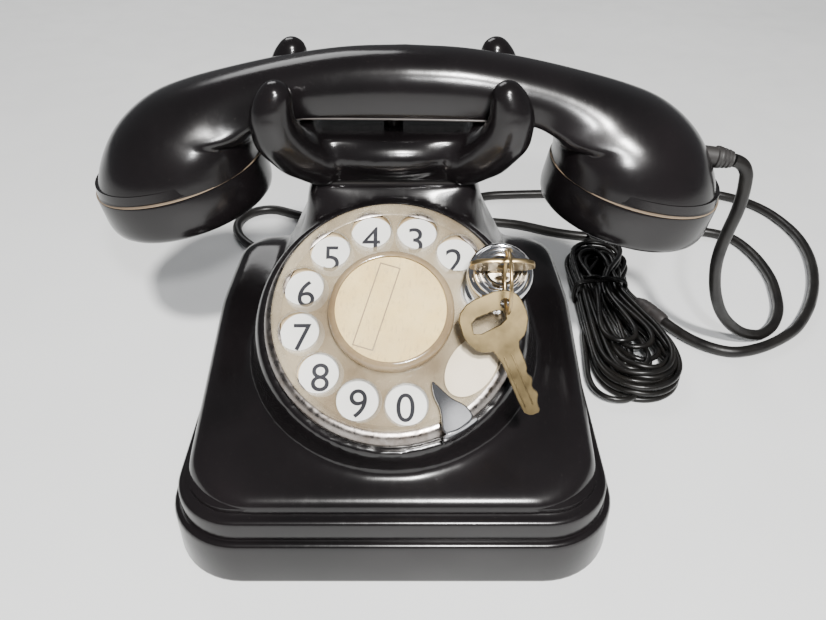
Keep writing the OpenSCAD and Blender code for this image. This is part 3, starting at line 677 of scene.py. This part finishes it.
def rounded_block(build, size, r, place):
    """A block with rounded edges, from z = 0 up."""
    w, d, h = size
    rings = []
    for k in range(BLOCK_STEPS + 1):
        a = math.pi / 2 * k / BLOCK_STEPS
        rings.append(round_box(w / 2 - r + r * math.sin(a), -d / 2 + r - r * math.sin(a),
                               d / 2 - r + r * math.sin(a), max(0.2, r * (0.3 + 0.7 * math.sin(a))),
                               r - r * math.cos(a), 5))
    top = [[(x, y, h - z) for x, y, z in ring] for ring in reversed(rings)]
    build.loft(rings + top, place)


def make_joint():
    """Slim sleeve that joins the thick and the thin cord, with two grooves."""
    place = moved(*JOINT_AT) @ rotated(JOINT_TURN, "Z") @ rotated(90, "Y")
    build = Build()
    build.lathe([(0.4, -2.0), (2.7, -2.0), (3.1, -1.2), (3.4, 0.0), (3.5, 1.5), (3.5, 5.0), (3.3, 5.4),
                 (3.3, 6.2), (3.5, 6.6), (3.5, 11.4), (3.3, 11.8), (3.2, 12.6), (3.3, 13.0), (2.9, 15.0),
                 (2.2, 16.8), (1.8, 18.0), (0.4, 18.2)], place, 32)
    joint = build.make("cord_joint_skin", "joint_rubber", "case", 30)
    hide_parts("cord_joint")
    return joint


# The tie's cord radius, points a turn, width, reach along the hank, and squareness: lower is squarer
TIE_R, TIE_STEPS, TIE_WIDE, TIE_REACH, TIE_SIDES, TIE_TOP = 0.9, 36, 2.2, 3.0, 0.45, 0.55


def make_tie(strands):
    """A short piece of thin cord wound twice round the hank and twisted shut on top."""
    centre = np.array(WAIST[:2])
    axis = np.array(FAN[:2]) - centre
    axis /= np.linalg.norm(axis)
    across = np.array([-axis[1], axis[0]])
    wound = strands[LEAD_IN_POINTS:]
    held = wound[np.abs((wound[:, :2] - centre) @ axis) < TIE_REACH]
    spread = (held[:, :2] - centre) @ across
    clear = LEAD_D / 2 + TIE_R
    middle = centre + across * (spread.min() + spread.max()) / 2
    half = (spread.max() - spread.min()) / 2 + clear
    top = held[:, 2].max() + clear
    build = Build()
    loop = []
    for n in range(TIE_STEPS * 2 + 1):
        a = TAU * n / TIE_STEPS - math.pi / 2
        x = half * powered(math.cos(a), TIE_SIDES)
        z = top / 2 + top / 2 * powered(math.sin(a), TIE_TOP)
        at = middle + across * x + axis * (TIE_WIDE * n / (TIE_STEPS * 2) - TIE_WIDE / 2)
        loop.append((at[0], at[1], max(TIE_R, z)))
    cord_tube(build, spline(loop, 2), TIE_R, 10)
    for side in (-1, 1):
        twist = [middle + across * (side * t * 1.4) + axis * side * t * 0.5 for t in range(7)]
        knot = [(p[0], p[1], top + 1.0 + 0.7 * math.sin(i * 0.9)) for i, p in enumerate(twist)]
        cord_tube(build, spline(knot, 4), TIE_R, 10)
    tie = build.make("hank_tie_skin", "thin_jacket", "case")
    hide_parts("hank_tie")
    return tie


PLUG_X = 113


def make_plug():
    build = Build()
    place = moved(PLUG_X, 171, 0.2)
    rounded_block(build, (12, 22, 9), 2.2, place)
    for k in range(4):
        rounded_block(build, (12.3, 1.2, 9.3), 0.5, place @ moved(0, -6 + 2.4 * k, -0.15))
    build.lathe([(0.4, 0), (2.4, 0), (2.0, -2.4), (1.5, -3.2), (0.4, -3.2)],
                moved(PLUG_X, 160.4, 4.7) @ rotated(-90, "X"), 20)
    plug = build.make("wall_plug_skin", "joint_rubber", "case", 30)
    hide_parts("wall_plug")
    pins = Build()
    for x in (-2.4, 2.6):
        rounded_block(pins, (1.2, 9, 2.4), 0.3, moved(PLUG_X + x, 184.5, 3.4))
    prongs = pins.make("plug_prongs", "spring_alloy", "case", 30)
    prongs.parent = plug
    return plug


# ---------- case, cradle and handset ----------

BASE_W, BASE_D, CORNER = 151.0, 160.0, 25.0
BAND_LOW, BAND_HIGH, STEP = 19.3, 27.5, 2.5
CASE_VOXEL, CASE_ROUNDS, CRADLE_VOXEL, CRADLE_ROUNDS = 1.25, 34, 0.95, 14
POD_FLAT_R, POD_TOP = 43.0, -9.6
# The pod's rim, from a height and between two radii, and how far smoothing is held off it
RIM_LOW, RIM_IN, RIM_OUT, RIM_FADE, RIM_HOLD = -20, 30, 47, 8, 0.93
DIAL = moved(0, -35.2, 80.5) @ rotated(35, "X")
DIAL_BACK = DIAL.inverted()


def make_bands():
    """The two stepped bands at the foot of the case, with the moulding's inner wall."""
    profile = [(9.4, 20), (9.4, 1.2), (9.0, 0.3), (8.2, 0.0), (1.6, 0.0), (0.6, 0.4), (0.15, 1.1), (0, 2.2),
               (0, BAND_LOW - 2.0), (0.2, BAND_LOW - 1.0), (0.7, BAND_LOW - 0.3), (1.5, BAND_LOW),
               (STEP - 0.3, BAND_LOW + 0.05), (STEP, BAND_LOW + 0.4), (STEP, BAND_HIGH - 1.8),
               (STEP + 0.25, BAND_HIGH - 0.9), (STEP + 0.8, BAND_HIGH - 0.25), (STEP + 1.7, BAND_HIGH),
               (5.4, BAND_HIGH + 0.1), (6.2, BAND_HIGH + 0.6), (6.4, 30.0), (9.0, 31.0)]
    rings = [round_box(BASE_W / 2 - inset, -BASE_D / 2 + inset, BASE_D / 2 - inset,
                       max(6.0, CORNER - inset), z) for inset, z in profile]
    build = Build()
    build.loft(rings, caps=(False, False))
    return build.make("case_bands", "bakelite", "case", 35)


def pod_points(profile):
    """Points of round sections about the dial's axis; each section is a radius and a height."""
    return [DIAL @ Vector((x, y, h)) for r, h in profile for x, y in circle_points(0, 0, r, 72)]


def make_case():
    bm = bmesh.new()
    ledge = [round_box(69.5, -74, 73, 24, z) for z in (26.0, 32.5)]
    crest = [p for x in (-1, 1) for c, r in (((x * 63.0, -56, 31.0), 6.5), ((x * 63.0, 16, 47.0), 6.5),
                                            ((x * 60.0, 45, 51.0), 6.5), ((x * 56.0, 55, 47.5), 7.5))
             for p in ball_points(c, r)]
    hull_into(bm, [*ledge, crest])
    # the neck, as half width, front, back, corner radius and height
    levels = [(50, -6, 66, 15, 50), (46.5, -1, 64, 14, 56), (43.5, 3, 61, 13, 62), (41, 5.5, 58.5, 12, 68),
              (37.5, 7, 55.5, 10, 75), (34, 8.3, 53, 9, 83), (32, 9.4, 50.8, 8, 92),
              (31.3, 9.7, 49.8, 7.5, 98.6), (28.6, 12.6, 48.0, 6, 101.6)]
    for a, b in zip(levels, levels[1:]):
        hull_into(bm, [round_box(*a), round_box(*b)])
    hull_into(bm, [pod_points([(52.0, -40), (49.0, -24), (46.6, -13.5), (44.6, -9.2)])])
    # a fairing fills the hollows between the pod and the neck's corners
    hull_into(bm, [pod_points([(51.0, -40), (49.6, -32)]),
                   round_box(49.0, 4, 40, 10, 50), round_box(43.0, 6, 40, 10, 62)])
    points, faces = remeshed(bm, CASE_VOXEL)
    local = np.array([DIAL_BACK @ Vector(p) for p in points])
    radius = np.hypot(local[:, 0], local[:, 1])
    # the pod's rim, the bands and the top of the neck keep their edges
    rim = np.clip((local[:, 2] - RIM_LOW) / RIM_FADE, 0, 1) * np.clip((radius - RIM_IN) / RIM_FADE, 0, 1)
    weight = 1 - RIM_HOLD * rim * (radius < RIM_OUT)
    weight *= np.clip((points[:, 2] - BAND_HIGH) / 6, 0, 1)
    weight *= np.clip((101.4 - points[:, 2]) / 3, 0.1, 1)
    points = smoothed(points, faces, CASE_ROUNDS, weight)
    # the top of the pod is flat under the dial
    local = np.array([DIAL_BACK @ Vector(p) for p in points])
    flat = (np.hypot(local[:, 0], local[:, 1]) < POD_FLAT_R) & (local[:, 2] > -13)
    local[flat, 2] = np.minimum(local[flat, 2], POD_TOP)
    points = np.array([DIAL @ Vector(p) for p in local])
    upper = add_object("case_upper", points * MM, faces, "bakelite", "case", 60)
    bands = make_bands()
    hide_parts("case_shell")
    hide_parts("case_shell")
    seam = Build()
    seam.loft([round_box(28.2 + out, 13.4 - out, 47.6 + out, 6, 101.5 + up)
               for out, up in ((-0.6, 0.0), (0.0, 0.05), (0.0, 0.6), (-0.6, 0.65))])
    seam.make("cradle_seam", "soft_rubber", "case", 30)


HORN = [((25.5, 12.5, 107.5), 7.6), ((33.4, 17.5, 114.5), 8.6), ((38.8, 21.6, 122.5), 8.5),
        ((39.8, 22.8, 128.3), 7.9), ((39.0, 23.0, 133.0), 6.8), ((37.8, 22.9, 136.2), 5.8)]
SLOT_LOW, SLOT_HALF = 122.3, 14.7
# lens-shaped swelling on the front and back of the saddle
BULGE, BULGE_Y, BULGE_Z = (23.0, 7.6, 7.4), 12.6, 110.6
# ridges that carry the handle, as half width, half depth and height, low and high
RIDGE_X, RIDGE = 30, ((6.5, 15, 112), (2.5, 12, SLOT_LOW))
# horn tips keep their shape above this height
TIP_Z, TIP_WEIGHT = 132, 0.35


def make_cradle():
    bm = bmesh.new()
    low = round_box(28.8, 13.6, 47.4, 6, 102.0)
    mid = round_box(33.0, 13.2, 46.8, 7, 107.5)
    top = round_box(35.5, 13.6, 45.4, 8, 115.0)
    lip = round_box(34.6, 14.6, 44.4, 8, 118.3)
    hull_into(bm, [low, mid])
    hull_into(bm, [mid, top, lip])
    for front in (-1, 1):
        hull_into(bm, [[(BULGE[0] * x, CRADLE_Y + front * (BULGE_Y + BULGE[1] * y), BULGE_Z + BULGE[2] * z)
                        for x, y, z in ball_points((0, 0, 0), 1, 24)]])
    for sx in (-1, 1):
        for sy in (-1, 1):
            for (a, ra), (b, rb) in zip(HORN, HORN[1:]):
                hull_into(bm, [ball_points((sx * c[0], CRADLE_Y + sy * c[1], c[2]), r, 14)
                               for c, r in ((a, ra), (b, rb))])
        hull_into(bm, [[(sx * RIDGE_X + x, CRADLE_Y + y, z) for x in (-w, w) for y in (-d, d)]
                       for w, d, z in RIDGE])
    points, faces = remeshed(bm, CRADLE_VOXEL)
    weight = np.clip((points[:, 2] - 103) / 3, 0.1, 1)
    weight = np.where(points[:, 2] > TIP_Z, TIP_WEIGHT, weight)
    points = smoothed(points, faces, CRADLE_ROUNDS, weight)
    # a slot for the handle between front and back horns, turned as the handset lies
    turned = np.array([HANDSET_BACK @ Vector(p) for p in points])
    above, across = turned[:, 2] > SLOT_LOW, turned[:, 1]
    inside = above & (np.abs(across) < SLOT_HALF)
    turned[inside, 1] = np.sign(across[inside]) * SLOT_HALF
    turned[:, 2] = np.where((np.abs(turned[:, 1]) < SLOT_HALF - 0.1) & above, SLOT_LOW, turned[:, 2])
    points = np.array([HANDSET @ Vector(p) for p in turned])
    cradle = add_object("cradle_skin", points * MM, faces, "bakelite", "case", 60)
    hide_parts("cradle")


STATIONS = [(0, 145.4, 0, 123, 13.5), (20, 144.5, 17, 123, 13.5), (40, 141.6, 32.5, 122.8, 13.8),
            (60, 137.2, 45, 121.6, 14.8), (80, 131.6, 51.4, 118.6, 18), (94, 125.6, 53.6, 115, 22.5),
            (105, 116.5, 54.2, 111.6, 27), (112, 105, 54.3, 108.6, 29.8), (115.6, 93.2, 53.9, 106.3, 31.3)]
CAP_SPAN, CAP_Z, CAP_TILT = 81.5, 83.5, 12.0
CAP_R, CAP_H = 32.3, 16.4
# The handle's section: below FLAT_BELOW in width the inner side is flatter and it is widest lower
FLAT_BELOW, FLAT_FADE, WIDEST, WIDEST_DROP = 24, 8, 0.5, 0.2
SECTION_POWER, INNER_FLAT, OUTER_FLAT, HANDLE_SIDES = 2.15, 2.6, 0.25, 72


def cap_place(side):
    return HANDSET @ moved(side * CAP_SPAN, 0, CAP_Z) @ rotated(side * CAP_TILT, "Y")


def make_handset():
    half = spline(STATIONS, 6)
    stations = np.vstack([half[:0:-1] * np.array([-1, 1, -1, 1, 1]), half])
    rings = []
    for ox, oz, ix, iz, w in stations:
        flat = np.clip((FLAT_BELOW - w) / FLAT_FADE, 0, 1)
        widest = WIDEST - WIDEST_DROP * flat
        centre = (ix + (ox - ix) * widest, iz + (oz - iz) * widest)
        ring = []
        for k in range(HANDLE_SIDES):
            a = TAU * k / HANDLE_SIDES
            c, s = math.cos(a), math.sin(a)
            power = 2 / (SECTION_POWER + (INNER_FLAT * flat if c < 0 else OUTER_FLAT * flat))
            share = powered(c, power) * (widest if c < 0 else 1 - widest)
            ring.append((centre[0] + (ox - ix) * share, w * powered(s, power), centre[1] + (oz - iz) * share))
        rings.append(ring)
    build = Build()
    build.loft(rings, HANDSET)
    for side in (-1, 1):
        build.lathe([(1, 16.6), (27.6, 16.6), (31.0, 16.8), (31.6, 17.5), (31.0, 20.5)], cap_place(side), 96)
    handle = build.make("handset_skin", "bakelite", "handset", 50)
    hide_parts("handset_handle")
    # thin ridges along the handle's lower edges; their lighter colour is a painted highlight
    ridge = Build()
    for sy in (-1, 1):
        line = [HANDSET @ Vector((x, sy * 13.15, 124.75 - (x / 46) ** 2 * 0.55)) for x in range(-44, 45, 4)]
        cord_tube(ridge, np.array(line, float), 0.38, 8)
    ridge.make("handle_ridges", "ridge_painted_highlight", "handset", 60)


def make_caps():
    for side, name in ((-1, "ear_cap"), (1, "mouth_cap")):
        place = cap_place(side)
        build = Build()
        rim = [(26.0, 0.15), (28.2, 0.35), (29.9, 1.0), (31.1, 2.1), (31.8, 3.6), (32.15, 5.2), (CAP_R, 7.0),
               (CAP_R, CAP_H - 1.0), (CAP_R - 0.2, CAP_H - 0.35), (CAP_R - 0.8, CAP_H), (27.8, CAP_H),
               (27.8, 4.6), (26.4, 3.6)]
        build.lathe(rim, place, 96, caps=(False, False))
        holes = [circle_points(x, y, 1.1, 16) for count, r in ((6, 6), (12, 13))
                 for x, y in circle_points(0, 0, r, count)]
        build.plate(circle_points(0, 0, 26.6, 96), holes, 0.05, 2.7, 0.25, place)
        cap = build.make(f"{name}_skin", "bakelite", "handset", 35)
        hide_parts(name)
        seam = Build()
        seam.lathe([(29.0, CAP_H - 0.2), (31.9, CAP_H - 0.1), (32.25, CAP_H + 0.05), (32.2, CAP_H + 0.35),
                    (31.6, CAP_H + 0.5), (29.0, CAP_H + 0.5)], place, 96)
        seam.make(f"{name}_seam", "tan_seam", "handset", 40)


# ---------- dial ----------

WHEEL_R, WHEEL_T = 39.0, 3.0
HOLE_R, HOLE_CIRCLE, FIRST_HOLE, HOLE_STEP = 6.75, 30.5, 75.0, 29.4
PLATE_TOP = -4.6
DISC_R, DISC_INWARD = 7.3, 0.9
# The cream oval on the wheel, a painted reflection of the flash
PATCH_AT, PATCH_TURN, PATCH_SIZE = (25.6, -18.0, 0), -35, (7.2, 11.2)
NUMERAL_SIZE, NUMERAL_THICKEN, NUMERAL_DEEP = 13.2, 0.004, 0.04


def hole_at(i, inward=0.0):
    """Centre of a finger hole, or a point nearer the middle of the dial."""
    a, r = math.radians(FIRST_HOLE - HOLE_STEP * i), HOLE_CIRCLE - inward
    return r * math.sin(a), r * math.cos(a)


def dial_text(digit, at, z):
    data = bpy.data.curves.new("digit", "FONT")
    data.body = digit
    data.size = NUMERAL_SIZE
    data.align_x, data.align_y = "CENTER", "CENTER"
    data.offset = NUMERAL_THICKEN
    data.extrude = NUMERAL_DEEP
    obj = linked("digit", data)
    bpy.context.view_layer.update()
    points, faces = taken(obj)
    return [(p.x + at[0], p.y + at[1], p.z + z) for p in points], faces


def make_number_plate():
    build = Build()
    build.lathe([(4, -5.5), (36.45, -5.5), (36.45, -4.75), (36.3, PLATE_TOP), (4, PLATE_TOP)], DIAL, 96)
    plate = build.make("number_plate_skin", "aged_plate", "case", 40)
    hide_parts("number_plate")
    discs = Build()
    for i in range(10):
        x, y = hole_at(i, DISC_INWARD)
        discs.plate(circle_points(x, y - 0.4, DISC_R, 40), [], PLATE_TOP - 0.2, PLATE_TOP + 0.08, 0.06, DIAL)
    discs.make("number_discs", "enamel", "case", 40)
    ink = Build()
    for i in range(10):
        x, y = hole_at(i, DISC_INWARD)
        points, faces = dial_text(str((i + 1) % 10), (x - 0.3, y - 1.8), PLATE_TOP + 0.16)
        ink.add(points, faces, DIAL)
    ink.make("dial_numerals", "numeral_ink", "case", 30)


def make_dial_ring():
    build = Build()
    profile = [(36.5, -9), (42.3, -9), (42.3, -7.0), (42.0, -6.2), (41.2, -5.2), (40.3, -4.5), (39.6, -4.25),
               (37.2, -4.25), (36.7, -4.4), (36.5, -4.9)]
    build.lathe(profile + [profile[0]], DIAL, 120, caps=(False, False))
    ring = build.make("dial_ring_skin", "dial_ring_metal", "case", 40)
    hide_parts("dial_ring")


def make_wheel():
    build = Build()
    holes = [circle_points(*hole_at(i), HOLE_R, 48) for i in range(10)]
    holes.append(circle_points(0, 0, 2.6, 32))
    build.plate(circle_points(0, 0, WHEEL_R, 128), holes, -WHEEL_T, 0, 0.7, DIAL)
    wheel = build.make("finger_wheel_skin", "wheel_clear", "dial_rotor", 50)
    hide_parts("finger_wheel")
    # a cream oval on top of the wheel, painted where the flash reflects
    patch = Build()
    turned = moved(*PATCH_AT) @ rotated(PATCH_TURN, "Z")
    oval = [(PATCH_SIZE[0] * x, PATCH_SIZE[1] * y) for x, y in circle_points(0, 0, 1, 48)]
    patch.plate(oval, [], -0.1, 0.16, 0.1, DIAL @ turned)
    patch.make("wheel_painted_reflection", "cream_painted_reflection", "dial_rotor", 40)


def make_card():
    build = Build()
    build.lathe([(0.5, 2.5), (18.0, 2.5), (18.0, 2.85), (0.5, 2.95)], DIAL, 72)
    card = build.make("center_card_skin", "card_paper", "dial_rotor", 40)
    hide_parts("center_card")
    lines = Build()
    turn = moved(-4.6, 1.0, 0) @ rotated(-17, "Z")
    for x in (-3.3, 3.3):
        rounded_block(lines, (0.42, 29.4, 0.12), 0.05, DIAL @ turn @ moved(x, 0, 2.94))
    for y in (-14.5, 14.5):
        rounded_block(lines, (7.0, 0.42, 0.12), 0.05, DIAL @ turn @ moved(0, y, 2.94))
    lines.make("card_box", "card_ink", "dial_rotor", 30)
    cover = Build()
    cover.lathe([(0.4, 3.9), (10, 3.82), (15, 3.7), (17.8, 3.55), (17.8, 3.1), (0.4, 3.15)], DIAL, 72)
    glass = cover.make("card_cover_skin", "cover_clear", "dial_rotor", 50)
    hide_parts("card_cover")
    ring = Build()
    profile = [(18.1, 0.05), (20.1, 0.05), (20.4, 0.4), (20.4, 2.0), (20.1, 3.0), (19.4, 3.8), (18.6, 4.15),
               (18.2, 4.2), (17.9, 4.05), (17.9, 3.85), (18.1, 3.8)]
    ring.lathe(profile + [profile[0]], DIAL, 96, caps=(False, False))
    rim = ring.make("card_ring_skin", "card_ring", "dial_rotor", 40)
    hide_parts("card_ring")


STOP_OVER = [(12.4, -22.4), (13.4, -28.6), (15.4, -32.4), (16, -40.4), (21, -39), (26, -35), (23.4, -31),
             (18.6, -28.8)]
STOP_FOOT = [(16, -40.4), (16.6, -41.9), (22.6, -39), (27.4, -35.6), (26.4, -34.2), (21.8, -37.4)]


def smooth_outline(points, rounds=3):
    """Chaikin corner cutting of a closed outline."""
    for _ in range(rounds):
        points = [((1 - t) * a[0] + t * b[0], (1 - t) * a[1] + t * b[1])
                  for a, b in zip(points, points[1:] + points[:1]) for t in (0.2, 0.8)]
    return points


def make_stop():
    build = Build()
    build.plate(smooth_outline(STOP_OVER), [], 1.3, 2.7, 0.5, DIAL)
    build.plate(smooth_outline(STOP_FOOT, 2), [], -9, 1.4, 0.4, DIAL)
    stop = build.make("finger_stop_skin", "chrome", "case", 40)
    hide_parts("finger_stop")


# ---------- lock and keys ----------

LOCK = DIAL @ moved(34.5, 9.5, 0)


def make_lock():
    build = Build()
    profile = [(4.9, 0.5), (10.3, 0.5), (10.45, 0.8), (10.45, 9.4), (10.3, 10.1), (9.8, 10.8), (9.2, 11.1),
               (8.9, 11.0), (8.7, 11.1), (8.5, 11.7), (8.2, 12.1), (7.8, 12.1), (7.6, 11.8), (7.3, 11.7),
               (7.1, 12.0), (6.8, 12.4), (6.4, 12.4), (6.2, 12.1), (5.9, 11.9), (5.6, 12.1), (5.3, 12.45),
               (5.0, 12.4), (4.7, 12.2), (4.6, 11.6), (4.6, 2.0)]
    build.lathe(profile, LOCK, 72, caps=(False, False))
    x, y = hole_at(0)
    build.lathe([(0.5, -4.2), (5.2, -4.2), (5.6, -3.8), (5.6, 0.9), (0.5, 0.9)],
                DIAL @ moved(x, y, 0), 48)
    lock = build.make("lock_body_skin", "chrome", "dial_rotor", 40)
    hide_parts("lock_body")
    plug = Build()
    slot = [(-3.6, -0.7), (3.6, -0.7), (3.6, 0.7), (-3.6, 0.7)]
    fine = [tuple(p) for p in np.concatenate([np.linspace(a, b, 6, endpoint=False)
                                              for a, b in zip(slot, slot[1:] + slot[:1])])]
    plug.plate(circle_points(0, 0, 4.5, 48), [fine], 3.5, 12.3, 0.3, LOCK)
    core = plug.make("lock_plug_skin", "chrome", "lock_core", 40)
    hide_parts("lock_plug")


KEY_OUTLINE = [(-9.6, 6.0), (-5, 8.8), (5.4, 8.8), (10.2, 5.4), (10.6, -2.0), (7.6, -7.0), (4.2, -8.6),
               (4.2, -16.3), (3.2, -18.2), (4.4, -20.4), (3.0, -22.8), (4.2, -25.4), (2.8, -27.6),
               (2.6, -31), (-0.6, -31), (-2.6, -29), (-2.6, -8.6), (-7.8, -7.0), (-10.6, -1.6)]
KEY_T = 1.4
# The spare key hangs from its eye, leaning off the wheel and turned
HANG = DIAL @ moved(35.2, -2.2, 14.3)
HANG_LEAN, HANG_TURN, HANG_EYE = 23.5, 23.0, (5.4, 4.0)
RING_R, RING_WIRE, RING_OVERLAP, RING_RISE = 9.5, 0.55, 1.12, 0.54
RING_POINTS = 80


def make_keys():
    build = Build()
    upright = LOCK @ rotated(90, "X")
    bow = smooth_outline([(-10.25, 15.1), (-9.75, 18.6), (-6, 20.6), (6, 20.6), (9.75, 18.6), (10.25, 15.1),
                          (7, 13.1), (-7, 13.1)], 1)
    build.plate(bow, [circle_points(0.7, 17.35, 2.15, 24)], -KEY_T / 2, KEY_T / 2, 0.3, upright)
    rounded_block(build, (7, KEY_T, 10), 0.3, LOCK @ moved(0, 0, 4))
    key = build.make("lock_key_skin", "key_brass", "lock_core", 35)
    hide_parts("lock_key")

    flat = HANG @ rotated(HANG_LEAN, "X") @ rotated(HANG_TURN, "Z") @ moved(-HANG_EYE[0], -HANG_EYE[1], 0)
    window = smooth_outline([(-7.2, -2.0), (4.0, -1.2), (3.8, 3.2), (-6.4, 3.4)], 1)
    build = Build()
    build.plate(smooth_outline(KEY_OUTLINE, 1), [window, circle_points(*HANG_EYE, 1.5, 24)],
                -KEY_T / 2, KEY_T / 2, 0.25, flat)
    for side in (-1, 1):
        for x in (-1.3, 1.2):
            rounded_block(build, (0.5, 17, 0.3), 0.1,
                          flat @ moved(x, -19.5, side * KEY_T / 2 - 0.15))
    spare = build.make("spare_key_skin", "pale_brass", "hanging_key", 35)
    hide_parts("spare_key")

    build = Build()
    centre = DIAL @ moved(34.95, 1.8, 22.9)
    path = np.array([
        centre @ Vector((RING_RISE * k / RING_POINTS, RING_R * math.cos(a), RING_R * math.sin(a)))
        for k, a in enumerate(np.linspace(0, TAU * RING_OVERLAP, RING_POINTS))])
    cord_tube(build, path, RING_WIRE, 10)
    wire = build.make("key_ring_skin", "key_brass", "lock_core", 60)
    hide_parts("key_ring")


# ---------- floor and the rest ----------


def make_floor():
    s = Shader("floor")
    s.set(base_color=s.ramp(s.noise(6, 5), [(0.3, (0.78, 0.79, 0.79)), (0.7, (0.84, 0.85, 0.85))]))
    s.set(roughness=s.level(s.noise(40, 3), 0.45, 0.6))
    s.bump(s.noise(900, 2), 0.00004, 0.4)
    mesh = bpy.data.meshes.new("floor")
    mesh.from_pydata([(-4, -4, 0), (4, -4, 0), (4, 4, 0), (-4, 4, 0)], [], [(0, 1, 2, 3)])
    mesh.materials.append(LOOKS["floor"])
    floor = linked("floor", mesh)
    floor.location.z = -0.0002


def dress_nodes():
    for look, names in LOOK_NODES.items():
        for name in names.split():
            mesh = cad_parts[name].data
            mesh.materials.clear()
            mesh.materials.append(LOOKS[look])


make_camera()
make_materials()
make_cords()
make_case()
make_cradle()
make_handset()
make_caps()
make_number_plate()
make_dial_ring()
make_wheel()
make_card()
make_stop()
make_lock()
make_keys()
dress_nodes()
make_floor()
make_lights()
